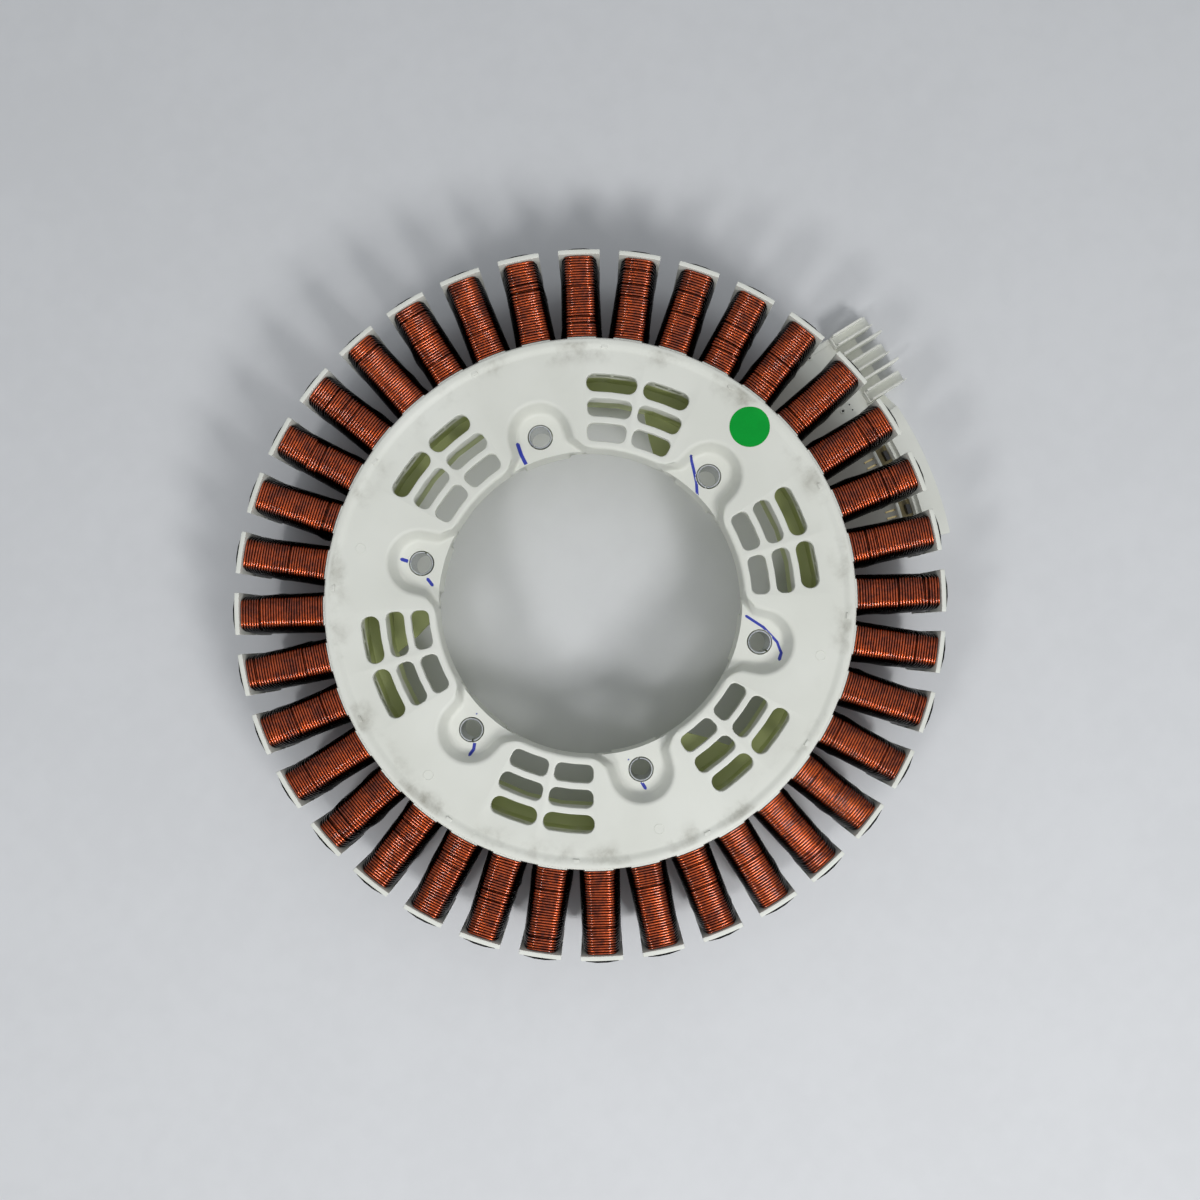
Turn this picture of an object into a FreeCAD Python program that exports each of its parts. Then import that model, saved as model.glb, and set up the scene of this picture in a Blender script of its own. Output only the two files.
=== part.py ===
# Wound stator of a 36-tooth outer-rotor motor that drives a washing-machine drum directly.
#
# Frame, in millimetres: the origin is the centre of the six mounting holes, on the mounting face
# under their bosses. +Z points to the rotor side and +X passes through mounting hole 1.
# Heights below are given in this frame, so the laminated stack reaches under the mounting face.
import FreeCAD, Part
import math
import os

Vector = FreeCAD.Vector

# Laminated stack
TOOTH_COUNT = 36
CORE_RADIUS = 133.0
STACK_TOP = 14.0
STACK_HEIGHT = 30.0
TOOTH_WIDTH = 9.0
SHOE_WIDTH = 15.2
SHOE_CROWN = 0.7
SHOE_CROWN_WIDTH = 12.0
SHOE_CROWN_FLATS = 3
YOKE_OUTER_RADIUS = 97.0
YOKE_WIDTH = 10.8

# Bobbin halves: a cap on each tooth between a rim and an outer flange
GUIDE_WALL = 1.7
MOULDING_CLEARANCE = 0.1
CROWN_THICKNESS = 2.9
FLANGE_WIDTH = 15.5
FLANGE_THICKNESS = 2.1
FLANGE_SETBACK = 2.5
FLANGE_HEIGHT = 6.5
RIM_WALL = 1.05

# Face plate of the upper half
BORE_RADIUS = 56.5
BORE_EDGE = 1.2
BORE_LAND = 2.9
PLATE_TOP = 21.0
PLATE_THICKNESS = 3.0
LIP_HEIGHT = 1.0
LIP_WIDTH = 2.7
LIP_SLOPE = 2.2
SKIRT_BOTTOM = 7.0
SKIRT_WALL = 2.2
NUB_COUNT = 12
NUB_START_ANGLE = 10.0
NUB_WIDTH = 2.6
NUB_LENGTH = 2.0
NUB_ROOT = 0.5

# Vent slots: groups of two columns and three rows between the bosses
SLOT_ROW_RIB = 2.45
SLOT_HALF_SPANS = (14.5, 14.3, 13.2)
SLOT_CORNERS = (2.4, 2.6, 3.2)
SLOT_CORNER_FACETS = 2
SLOT_CORNER_LIMIT = 0.45
SLOT_COLUMN_RIB = 2.2
SLOT_FLOOR_TOP = 4.0
SLOT_FLOOR_THICKNESS = 2.0
SLOT_WALL_BOTTOM = 2.0
SLOT_WALL_SETBACK = 0.5

# Mounting bosses and their spring bushings
BOLT_COUNT = 6
BOLT_INSET = 8.0
BOSS_RADIUS = 12.2
POCKET_FLOOR = 14.0
POCKET_FLOOR_RADIUS = 8.75
POCKET_TOP_RADIUS = 11.85
POCKET_FLOOR_FLARE = 4.0
POCKET_TOP_FLARE = 8.0
POCKET_STRAIGHT = 2.9
POCKET_FACET = 22.5
BOSS_SIDES = 12
BUSHING_RADIUS = 4.45
BUSHING_BORE_RADIUS = 3.7
BUSHING_STAND_OUT = 0.3
BUSHING_SLIT = 0.8
BUSHING_SLIT_ANGLES = (200.0, 115.0, 250.0, 40.0, 165.0, 310.0)
GUSSET_COUNT = 3
GUSSET_THICKNESS = 2.0
GUSSET_INSET = 1.0
GUSSET_ROOT_ANGLE = 6.0
GUSSET_EDGE_ANGLES = (16.8, 23.8, 27.8)

# Windings
COIL_CLEARANCE = 0.1
COIL_GAP = 1.17
COIL_OUTER_WIDTH = 13.0
COIL_INNER_BUILD = 3.0
COIL_OUTER_BUILD = 2.2
COIL_SHOULDER_WIDTH = 2.8
COIL_SHOULDER_DEPTH = 2.2
WIRE_SIZE = 1.0

# Lead side of the lower half: guide wall with crossover wires, on which the stator stands
FOOT_DROP = 15.0
LOWER_FLOOR = 2.5
PHASE_COUNT = 3
CROSSOVER_DROP = 5.0

# Sensor and connector module under the windings
MODULE_ANGLE = -15.0
MODULE_FIT = 0.2
MODULE_REACH = 13.5
MODULE_END_ANGLE = -20.5
MODULE_STEP_ANGLE = 1.2
MODULE_STEP_SLOPE = 1.5
MODULE_SIDE = 39.0
MODULE_PLATE_THICKNESS = 4.0
MODULE_HUMP_WIDTH = 8.9
MODULE_HUMP_HEIGHT = 11.5
SENSOR_POCKET_WIDTH = 5.8
SENSOR_POCKET_WALL = 1.2
SENSOR_POCKET_END_ANGLE = 2.0
SENSOR_POCKET_FLOOR_THICKNESS = 2.0
SENSOR_WALL_HEIGHT = 3.4
SENSOR_ANGLES = (-15.0, -10.0, -5.0)
SENSOR_THICKNESS = 1.6
SENSOR_WIDTH = 4.0
SENSOR_HEIGHT = 3.2
BOARD_THICKNESS = 1.2
PIN_LENGTH = 4.2
PIN_WIDTH = 0.7
PIN_SPREAD_ANGLE = 1.2
CONNECTOR_SETBACK = 6.9
CHANNEL_COUNT = 3
CHANNEL_PITCH = 12.9
CHANNEL_INSET = 0.6
CHANNEL_WIDTH = 5.0
CHANNEL_LENGTH = 16.0
CHANNEL_WALL = 0.9
CHANNEL_HEIGHT = 12.0
CHANNEL_DEPTH = 4.0
CHANNEL_NOTCH = 2.2
CONNECTOR_WEB_LENGTH = 9.6
CONNECTOR_WEB_THICKNESS = 2.5
FIN_THICKNESS = 1.0
FIN_LENGTH = 17.7
TERMINAL_THICKNESS = 0.8
TERMINAL_LENGTH = 14.5
TERMINAL_ROOT = 3.5
TERMINAL_RISE = 2.8

# How far a cutter reaches past what it cuts
CUT_OVER = 1.0

# Sizes that follow from the ones above
TOOTH_PITCH = 360.0 / TOOTH_COUNT
BOLT_PITCH = 360.0 / BOLT_COUNT
STACK_BOTTOM = STACK_TOP - STACK_HEIGHT
SPLIT_HEIGHT = STACK_TOP - STACK_HEIGHT / 2.0
FLANGE_OUTER = CORE_RADIUS - FLANGE_SETBACK
SHOE_FACE = FLANGE_OUTER + MOULDING_CLEARANCE
FLANGE_INNER = FLANGE_OUTER - FLANGE_THICKNESS
RIM_RADIUS = YOKE_OUTER_RADIUS + RIM_WALL
YOKE_INNER_RADIUS = YOKE_OUTER_RADIUS - YOKE_WIDTH
WALL_OUTER_RADIUS = YOKE_INNER_RADIUS - MOULDING_CLEARANCE
WALL_INNER_RADIUS = WALL_OUTER_RADIUS - GUIDE_WALL
SLOT_ROWS = len(SLOT_HALF_SPANS)
SLOT_START_RADIUS = BORE_RADIUS + BORE_LAND
SLOT_PITCH = (WALL_INNER_RADIUS - SLOT_START_RADIUS + SLOT_ROW_RIB) / SLOT_ROWS
SLOT_WIDTH = SLOT_PITCH - SLOT_ROW_RIB
BOLT_CIRCLE_RADIUS = BORE_RADIUS + BOLT_INSET
PLATE_BOTTOM = PLATE_TOP - PLATE_THICKNESS
FORMER_HALF_WIDTH = TOOTH_WIDTH / 2.0 + MOULDING_CLEARANCE
FORMER_TOP = STACK_TOP + MOULDING_CLEARANCE + CROWN_THICKNESS
COIL_START = RIM_RADIUS + COIL_CLEARANCE
COIL_END = FLANGE_INNER - COIL_CLEARANCE
COIL_INNER_WIDTH = 2.0 * COIL_START * math.tan(math.radians(TOOTH_PITCH / 2.0)) - COIL_GAP
FOOT_BOTTOM = STACK_BOTTOM - FOOT_DROP
MODULE_INNER_RADIUS = WALL_OUTER_RADIUS + MODULE_FIT
MODULE_RADIUS = CORE_RADIUS + MODULE_REACH
MODULE_PLATE_TOP = FOOT_BOTTOM + MODULE_PLATE_THICKNESS
MODULE_HUMP_TOP = FOOT_BOTTOM + MODULE_HUMP_HEIGHT
MODULE_HUMP_RADIUS = MODULE_RADIUS - MODULE_HUMP_WIDTH
SENSOR_POCKET_OUTER = MODULE_HUMP_RADIUS - SENSOR_POCKET_WALL
SENSOR_POCKET_INNER = SENSOR_POCKET_OUTER - SENSOR_POCKET_WIDTH
SENSOR_POCKET_START = MODULE_END_ANGLE + SENSOR_POCKET_END_ANGLE
SENSOR_POCKET_END = MODULE_STEP_ANGLE - SENSOR_POCKET_END_ANGLE
SENSOR_POCKET_FLOOR = FOOT_BOTTOM + SENSOR_POCKET_FLOOR_THICKNESS
SENSOR_WALL_TOP = MODULE_PLATE_TOP + SENSOR_WALL_HEIGHT
CROSSOVER_TOP = STACK_BOTTOM - CROSSOVER_DROP
CROSSOVER_BOTTOM = MODULE_PLATE_TOP + MODULE_FIT
CROSSOVER_PITCH = (CROSSOVER_TOP - CROSSOVER_BOTTOM - WIRE_SIZE) / (PHASE_COUNT - 1)
CONNECTOR_FACE = MODULE_RADIUS - CONNECTOR_SETBACK
CHANNEL_CENTRES = [MODULE_SIDE - CHANNEL_INSET - CHANNEL_PITCH * (CHANNEL_COUNT - 1 - index)
                   for index in range(CHANNEL_COUNT)]
CHANNEL_TOP = FOOT_BOTTOM + CHANNEL_HEIGHT
CHANNEL_FLOOR = CHANNEL_TOP - CHANNEL_DEPTH
TERMINAL_HEIGHT = FOOT_BOTTOM + TERMINAL_RISE


def polar(radius, angle, height=0.0):
    """Point at a radius and an angle in degrees about the motor axis."""
    turn = math.radians(angle)
    return Vector(radius * math.cos(turn), radius * math.sin(turn), height)


def turned(shape, angle):
    """Copy of a shape turned about the motor axis by an angle in degrees."""
    copy = shape.copy()
    copy.rotate(Vector(0, 0, 0), Vector(0, 0, 1), angle)
    return copy


def box(x_low, x_high, y_low, y_high, z_low, z_high):
    """Box between two corners."""
    return Part.makeBox(x_high - x_low, y_high - y_low, z_high - z_low, Vector(x_low, y_low, z_low))


def ring(inner, outer, low, high):
    """Plain round ring about the motor axis."""
    body = Part.makeCylinder(outer, high - low, Vector(0, 0, low))
    return body.cut(Part.makeCylinder(inner, high - low, Vector(0, 0, low)))


def prism(edges, low, high):
    """Solid over a closed flat outline drawn at height low."""
    return Part.Face(Part.Wire(edges)).extrude(Vector(0, 0, high - low))


def line(start, end):
    """Straight edge."""
    return Part.LineSegment(start, end).toShape()


def arc(start, middle, end):
    """Round edge through three points."""
    return Part.Arc(start, middle, end).toShape()


def sector(inner, outer, start, end, low, high):
    """Part of a ring between two angles in degrees."""
    middle = (start + end) / 2.0
    edges = [
        line(polar(inner, start, low), polar(outer, start, low)),
        arc(polar(outer, start, low), polar(outer, middle, low), polar(outer, end, low)),
        line(polar(outer, end, low), polar(inner, end, low)),
        arc(polar(inner, end, low), polar(inner, middle, low), polar(inner, start, low)),
    ]
    return prism(edges, low, high)


def mirrored(point):
    """Point on the other side of the XZ plane."""
    return Vector(point.x, -point.y, point.z)


def faceted(first, second):
    """Solid of flat faces between two outlines whose matching edges are parallel."""
    faces = [Part.Face(Part.makePolygon(outline + outline[:1])) for outline in (first, second)]
    for index in range(len(first)):
        corners = [first[index - 1], first[index], second[index], second[index - 1]]
        faces.append(Part.Face(Part.makePolygon(corners + corners[:1])))
    solid = Part.Solid(Part.Shell(faces))
    if solid.Volume < 0:
        solid.reverse()
    return solid


def flat_sided_points(radius, height):
    """Corners of an outline about the motor axis with a flat at this radius towards each tooth."""
    corner = radius / math.cos(math.radians(TOOTH_PITCH / 2.0))
    return [polar(corner, TOOTH_PITCH * index, height) for index in range(TOOTH_COUNT)]


def flat_sided(radius, low, high):
    """Upright prism about the motor axis with a flat at this radius towards each tooth."""
    points = flat_sided_points(radius, low)
    return Part.Face(Part.makePolygon(points + points[:1])).extrude(Vector(0, 0, high - low))


def flat_sided_arc(flat_radius, corner_radius, low, high):
    """Half a bolt pitch of wall, centred on +X, with a flat towards each tooth."""
    corner = flat_radius / math.cos(math.radians(TOOTH_PITCH / 2.0))
    spans = int(round(BOLT_PITCH / 2.0 / TOOTH_PITCH))
    angles = [TOOTH_PITCH * (index - spans / 2.0) for index in range(spans + 1)]
    points = [polar(corner, angle, low) for angle in angles]
    points += [polar(corner_radius, angle, low) for angle in reversed(angles)]
    return Part.Face(Part.makePolygon(points + points[:1])).extrude(Vector(0, 0, high - low))


def revolved(profile):
    """Solid of revolution of a closed outline of (radius, height) points and edges."""
    face = Part.Face(Part.Wire(profile))
    return face.revolve(Vector(0, 0, 0), Vector(0, 0, 1), 360)


def section(points):
    """Closed chain of straight edges through (radius, height) points."""
    corners = [Vector(radius, 0, height) for radius, height in points]
    return [line(corners[i - 1], corners[i]) for i in range(len(corners))]


def tooth_angles():
    """Directions of the teeth, which lie evenly on both sides of every mounting hole."""
    return [TOOTH_PITCH * (index + 0.5) for index in range(TOOTH_COUNT)]


def tooth_points():
    """Outline of the tooth along +X and its crowned pole shoe, from one root to the other."""
    half = TOOTH_WIDTH / 2.0
    shoe = SHOE_WIDTH / 2.0
    root = math.sqrt(YOKE_OUTER_RADIUS ** 2 - half ** 2)
    points = [Vector(root, -half, STACK_BOTTOM), Vector(SHOE_FACE, -half, STACK_BOTTOM),
              Vector(SHOE_FACE, -shoe, STACK_BOTTOM)]
    for step in range(SHOE_CROWN_FLATS + 1):
        share = 2.0 * step / SHOE_CROWN_FLATS - 1.0
        points.append(Vector(CORE_RADIUS - SHOE_CROWN * share ** 2,
                             SHOE_CROWN_WIDTH / 2.0 * share, STACK_BOTTOM))
    return points + [mirrored(point) for point in reversed(points[:3])]


def core_stack():
    """Laminated ring with all its teeth."""
    points = []
    for angle in tooth_angles():
        for point in tooth_points():
            points.append(polar(math.hypot(point.x, point.y),
                                angle + math.degrees(math.atan2(point.y, point.x)), point.z))
    body = Part.Face(Part.makePolygon(points + points[:1])).extrude(Vector(0, 0, STACK_HEIGHT))
    return body.cut(Part.makeCylinder(YOKE_INNER_RADIUS, STACK_HEIGHT, Vector(0, 0, STACK_BOTTOM)))


def one_bobbin():
    """Upper half of the end cap and flange on the tooth along +X."""
    half = FORMER_HALF_WIDTH
    stack = STACK_TOP + MOULDING_CLEARANCE
    floor = SPLIT_HEIGHT + MOULDING_CLEARANCE / 2.0
    flange_half = FLANGE_WIDTH / 2.0
    root = RIM_RADIUS - RIM_WALL
    cap = box(root, FLANGE_INNER, -half, half, stack, FORMER_TOP)
    flange = box(FLANGE_INNER, FLANGE_OUTER, -flange_half, flange_half, floor,
                 STACK_TOP + FLANGE_HEIGHT)
    tooth = box(FLANGE_INNER, FLANGE_OUTER, -half, half, floor, stack)
    return cap.fuse(flange.cut(tooth)).removeSplitter()


def slot_row(row):
    """Inner and outer radius of one row of vent slots."""
    inner = SLOT_START_RADIUS + row * SLOT_PITCH
    return inner, inner + SLOT_WIDTH


def rounded_corner(radius, angle, inward, along, size, height):
    """Facets round one slot corner, from its radial side to its long side."""
    points = []
    for step in range(SLOT_CORNER_FACETS + 1):
        turn = math.pi / 2.0 * (1.0 - step / SLOT_CORNER_FACETS)
        distance = radius + inward * size * (1.0 - math.cos(turn))
        shift = along * size * (1.0 - math.sin(turn))
        points.append(polar(distance, angle + math.degrees(shift / distance), height))
    return points


def slot_tool(row, start, end):
    """Cutter for one vent slot with rounded corners."""
    inner, outer = slot_row(row)
    size = min(SLOT_CORNERS[row], SLOT_CORNER_LIMIT * SLOT_WIDTH)
    low = PLATE_BOTTOM - CUT_OVER
    points = rounded_corner(inner, start, 1, 1, size, low)
    points += reversed(rounded_corner(inner, end, 1, -1, size, low))
    points += rounded_corner(outer, end, -1, -1, size, low)
    points += reversed(rounded_corner(outer, start, -1, 1, size, low))
    face = Part.Face(Part.makePolygon(points + points[:1]))
    return face.extrude(Vector(0, 0, PLATE_THICKNESS + 2.0 * CUT_OVER))


def slot_tools():
    """Cutters for all vent slots of one group, centred on +X."""
    tools = []
    for row, half_span in enumerate(SLOT_HALF_SPANS):
        inner, outer = slot_row(row)
        rib = math.degrees(SLOT_COLUMN_RIB / (inner + outer))
        tools.append(slot_tool(row, rib, half_span))
        tools.append(slot_tool(row, -half_span, -rib))
    return tools


def pocket_outline(radius, flare, height):
    """Faceted outline of a boss pocket whose sides flare out into the bore."""
    middle = BOLT_CIRCLE_RADIUS
    side = []
    steps = int(round(90.0 / POCKET_FACET))
    for step in range(steps + 1):
        turn = math.radians(POCKET_FACET * step)
        side.append(Vector(middle + radius * math.cos(turn), radius * math.sin(turn), height))
    bend_start = middle - POCKET_STRAIGHT
    bend_steps = int(round(45.0 / POCKET_FACET))
    for step in range(bend_steps + 1):
        turn = math.radians(POCKET_FACET * step)
        side.append(Vector(bend_start - flare * math.sin(turn),
                           radius + flare * (1.0 - math.cos(turn)), height))
    reach = side[-1].x - (BORE_RADIUS - BOSS_RADIUS)
    side.append(Vector(side[-1].x - reach, side[-1].y + reach, height))
    return [mirrored(point) for point in reversed(side[1:])] + side


def pocket_tool():
    """Cutter for the pocket over the boss on +X, with sloping walls."""
    growth = (PLATE_TOP + CUT_OVER - POCKET_FLOOR) / (PLATE_TOP - POCKET_FLOOR)
    radius = POCKET_FLOOR_RADIUS + (POCKET_TOP_RADIUS - POCKET_FLOOR_RADIUS) * growth
    flare = POCKET_FLOOR_FLARE + (POCKET_TOP_FLARE - POCKET_FLOOR_FLARE) * growth
    floor = pocket_outline(POCKET_FLOOR_RADIUS, POCKET_FLOOR_FLARE, POCKET_FLOOR)
    return faceted(floor, pocket_outline(radius, flare, PLATE_TOP + CUT_OVER))


def boss_prism(radius, low, high):
    """Upright prism round the axis of the hole on +X whose flats touch the given radius."""
    corner = radius / math.cos(math.pi / BOSS_SIDES)
    points = []
    for step in range(BOSS_SIDES):
        turn = 2.0 * math.pi * (step + 0.5) / BOSS_SIDES
        points.append(Vector(BOLT_CIRCLE_RADIUS + corner * math.cos(turn),
                             corner * math.sin(turn), low))
    face = Part.Face(Part.makePolygon(points + points[:1]))
    return face.extrude(Vector(0, 0, high - low))


def boss():
    """Boss on +X, flush with the bore on its inner side and clear of the guide wall."""
    body = boss_prism(BOSS_RADIUS, 0, PLATE_BOTTOM)
    room = ring(BORE_RADIUS, WALL_INNER_RADIUS - MOULDING_CLEARANCE, 0, PLATE_BOTTOM)
    return body.common(room)


def slot_wall():
    """Wall outside the middle slots of the group on +X, with a flat towards each tooth."""
    inner = slot_row(1)[1]
    outer = slot_row(2)[0] - SLOT_WALL_SETBACK
    return flat_sided_arc(inner, outer, SLOT_WALL_BOTTOM, PLATE_BOTTOM)


def gusset():
    """Flat web between the boss on +X and the wall outside the middle slots."""
    low = SLOT_WALL_BOTTOM
    start = BORE_RADIUS + GUSSET_INSET
    end = slot_row(1)[1] + SLOT_ROW_RIB / 2.0
    radii = (start, (start + end) / 2.0, end)
    points = [polar(start, GUSSET_ROOT_ANGLE, low)]
    points += [polar(radius, angle, low) for radius, angle in zip(radii, GUSSET_EDGE_ANGLES)]
    points.append(polar(end, GUSSET_ROOT_ANGLE, low))
    face = Part.Face(Part.makePolygon(points + points[:1]))
    return face.extrude(Vector(0, 0, GUSSET_THICKNESS))


def upper_ring():
    """Face plate with its lip and skirt, hollow underneath and with a flat rim behind each coil."""
    lip_top = PLATE_TOP + LIP_HEIGHT
    lip_inner = RIM_RADIUS - LIP_WIDTH
    skirt = BORE_RADIUS + SKIRT_WALL
    stack = STACK_TOP + MOULDING_CLEARANCE
    body = flat_sided(RIM_RADIUS, stack, lip_top)
    body = body.cut(faceted(flat_sided_points(lip_inner - LIP_SLOPE, PLATE_TOP),
                            flat_sided_points(lip_inner, lip_top)))
    body = body.cut(flat_sided(WALL_INNER_RADIUS, stack, PLATE_BOTTOM))
    body = body.fuse(flat_sided(skirt, SKIRT_BOTTOM, PLATE_TOP))
    bore = revolved(section([
        (0, SKIRT_BOTTOM),
        (BORE_RADIUS, SKIRT_BOTTOM),
        (BORE_RADIUS, PLATE_TOP - BORE_EDGE),
        (BORE_RADIUS + BORE_EDGE, PLATE_TOP),
        (0, PLATE_TOP),
    ]))
    return body.cut(bore)


def upper_insulator():
    """Rotor-side bobbin half with the face plate, bosses, vent slots and pockets."""
    bobbin = one_bobbin()
    added = [turned(bobbin, angle) for angle in tooth_angles()]
    nub_outer = RIM_RADIUS - LIP_WIDTH + NUB_ROOT
    nub = box(nub_outer - NUB_LENGTH, nub_outer, -NUB_WIDTH / 2.0, NUB_WIDTH / 2.0,
              PLATE_TOP - NUB_ROOT, PLATE_TOP + LIP_HEIGHT)
    added += [turned(nub, NUB_START_ANGLE + 360.0 / NUB_COUNT * index) for index in range(NUB_COUNT)]
    added += [turned(boss(), BOLT_PITCH * index) for index in range(BOLT_COUNT)]
    added += [turned(slot_wall(), BOLT_PITCH * (index + 0.5)) for index in range(BOLT_COUNT)]
    added += [turned(gusset(), 360.0 / GUSSET_COUNT * index) for index in range(GUSSET_COUNT)]
    body = upper_ring().multiFuse(added)

    hole = boss_prism(BUSHING_RADIUS, -CUT_OVER, PLATE_TOP)
    pocket = pocket_tool()
    tools = []
    for index in range(BOLT_COUNT):
        angle = BOLT_PITCH * index
        tools.append(turned(pocket, angle))
        tools.append(turned(hole, angle))
        tools += [turned(tool, angle + BOLT_PITCH / 2.0) for tool in slot_tools()]
    return body.cut(tools).removeSplitter()


def lower_ring():
    """Yoke cover and guide wall of the lead-side half, with a flat towards each tooth."""
    stack = STACK_BOTTOM - MOULDING_CLEARANCE
    corner_to_flat = math.cos(math.radians(TOOTH_PITCH / 2.0))
    cover = flat_sided(RIM_RADIUS, stack - LOWER_FLOOR, stack)
    wall = flat_sided(WALL_OUTER_RADIUS * corner_to_flat, FOOT_BOTTOM, STACK_TOP)
    return cover.fuse(wall).cut(flat_sided(WALL_INNER_RADIUS, FOOT_BOTTOM, STACK_TOP))


def slot_floor():
    """Shelf that closes the outer vent slots of the group on +X from below."""
    inner = slot_row(2)[0] + MOULDING_CLEARANCE
    low = SLOT_FLOOR_TOP - SLOT_FLOOR_THICKNESS
    return flat_sided_arc(inner, WALL_INNER_RADIUS + GUIDE_WALL / 2.0, low, SLOT_FLOOR_TOP)


def lower_insulator():
    """Lead-side bobbin half with the guide wall on which the stator stands."""
    below = one_bobbin().mirror(Vector(0, 0, SPLIT_HEIGHT), Vector(0, 0, 1))
    added = [turned(below, angle) for angle in tooth_angles()]
    added += [turned(slot_floor(), BOLT_PITCH * (index + 0.5)) for index in range(BOLT_COUNT)]
    return lower_ring().multiFuse(added).removeSplitter()


def coil_outline(distance, width, build):
    """Outline of the winding across the tooth along +X, with sloping shoulders."""
    half = width / 2.0
    top = FORMER_TOP + build
    shoulder = half - COIL_SHOULDER_WIDTH
    right = [(half, top - COIL_SHOULDER_DEPTH), (shoulder, top)]
    upper = right + [(-y, z) for y, z in reversed(right)]
    lower = [(-y, 2.0 * SPLIT_HEIGHT - z) for y, z in upper]
    return [Vector(distance, y, z) for y, z in upper + lower]


def one_coil():
    """Winding round the tooth along +X, wider and thicker at the yoke than at the tip."""
    body = faceted(coil_outline(COIL_START, COIL_INNER_WIDTH, COIL_INNER_BUILD),
                   coil_outline(COIL_END, COIL_OUTER_WIDTH, COIL_OUTER_BUILD))
    half = FORMER_HALF_WIDTH
    bottom = 2.0 * SPLIT_HEIGHT - FORMER_TOP
    return body.cut(box(COIL_START - CUT_OVER, COIL_END + CUT_OVER, -half, half, bottom, FORMER_TOP))


def bushing(slit_angle):
    """Split spring bushing on the axis of the hole on +X."""
    length = POCKET_FLOOR + BUSHING_STAND_OUT
    centre = Vector(BOLT_CIRCLE_RADIUS, 0, 0)
    body = boss_prism(BUSHING_RADIUS, 0, length)
    body = body.cut(Part.makeCylinder(BUSHING_BORE_RADIUS, length, centre))
    slit = box(0, BUSHING_RADIUS + CUT_OVER, -BUSHING_SLIT / 2.0, BUSHING_SLIT / 2.0, 0, length)
    slit.rotate(Vector(0, 0, 0), Vector(0, 0, 1), slit_angle)
    slit.translate(centre)
    return body.cut(slit)


def bushings():
    """All six bushings, each with its slit in its own direction."""
    parts = []
    for index in range(BOLT_COUNT):
        slit_angle = BUSHING_SLIT_ANGLES[index % len(BUSHING_SLIT_ANGLES)]
        parts.append(turned(bushing(slit_angle), BOLT_PITCH * index))
    return Part.makeCompound(parts)


def crossover(index):
    """Wire of one phase, pulled straight from each of its coils to the next behind the guide wall."""
    span = TOOTH_PITCH * PHASE_COUNT
    count = TOOTH_COUNT // PHASE_COUNT
    flat = math.cos(math.radians(span / 2.0))
    inner = (WALL_OUTER_RADIUS + MOULDING_CLEARANCE) / flat
    outer = inner + WIRE_SIZE / flat
    low = CROSSOVER_TOP - CROSSOVER_PITCH * index - WIRE_SIZE
    angles = [TOOTH_PITCH * (index + 0.5) + span * step for step in range(count)]
    points = [polar(inner, angle, low) for angle in angles]
    points += [polar(outer, angle, low) for angle in reversed(angles)]
    face = Part.Face(Part.makePolygon(points + points[:1]))
    return face.extrude(Vector(0, 0, WIRE_SIZE))


def module_outline(low):
    """Outline of the sensor housing in the module's own direction along +X."""
    inner = MODULE_INNER_RADIUS
    side_inner = math.sqrt(inner ** 2 - MODULE_SIDE ** 2)
    side_angle = math.degrees(math.asin(MODULE_SIDE / inner))
    step_y = MODULE_RADIUS * math.sin(math.radians(MODULE_STEP_ANGLE)) + MODULE_STEP_SLOPE
    arc_middle = (MODULE_END_ANGLE + MODULE_STEP_ANGLE) / 2.0
    return [
        line(polar(inner, MODULE_END_ANGLE, low), polar(MODULE_RADIUS, MODULE_END_ANGLE, low)),
        arc(polar(MODULE_RADIUS, MODULE_END_ANGLE, low), polar(MODULE_RADIUS, arc_middle, low),
            polar(MODULE_RADIUS, MODULE_STEP_ANGLE, low)),
        line(polar(MODULE_RADIUS, MODULE_STEP_ANGLE, low), Vector(CONNECTOR_FACE, step_y, low)),
        line(Vector(CONNECTOR_FACE, step_y, low), Vector(CONNECTOR_FACE, MODULE_SIDE, low)),
        line(Vector(CONNECTOR_FACE, MODULE_SIDE, low), Vector(side_inner, MODULE_SIDE, low)),
        arc(Vector(side_inner, MODULE_SIDE, low),
            polar(inner, (side_angle + MODULE_END_ANGLE) / 2.0, low),
            polar(inner, MODULE_END_ANGLE, low)),
    ]


def terminal_boxes(grow):
    """Blades of the power connector, or their seats when grown by a clearance."""
    half = CHANNEL_WIDTH / 2.0 - CHANNEL_WALL - MOULDING_CLEARANCE + grow
    start = CONNECTOR_FACE - TERMINAL_ROOT - grow
    end = start + TERMINAL_LENGTH + 2.0 * grow
    low = TERMINAL_HEIGHT - grow
    high = TERMINAL_HEIGHT + TERMINAL_THICKNESS + grow
    return [box(start, end, y - half, y + half, low, high) for y in CHANNEL_CENTRES]


def sensor_housing():
    """Moulded tray under the windings, with a raised outer strip and the sensor pocket."""
    body = prism(module_outline(FOOT_BOTTOM), FOOT_BOTTOM, MODULE_PLATE_TOP)
    hump = sector(MODULE_HUMP_RADIUS, MODULE_RADIUS, MODULE_END_ANGLE, MODULE_STEP_ANGLE,
                  MODULE_PLATE_TOP, MODULE_HUMP_TOP)
    pocket_wall = sector(SENSOR_POCKET_INNER - SENSOR_POCKET_WALL, MODULE_HUMP_RADIUS,
                         MODULE_END_ANGLE, MODULE_STEP_ANGLE, MODULE_PLATE_TOP, SENSOR_WALL_TOP)
    body = body.fuse([hump, pocket_wall])
    pocket = sector(SENSOR_POCKET_INNER, SENSOR_POCKET_OUTER, SENSOR_POCKET_START,
                    SENSOR_POCKET_END, SENSOR_POCKET_FLOOR, SENSOR_WALL_TOP + CUT_OVER)
    return body.cut([pocket] + terminal_boxes(MOULDING_CLEARANCE)).removeSplitter()


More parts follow.
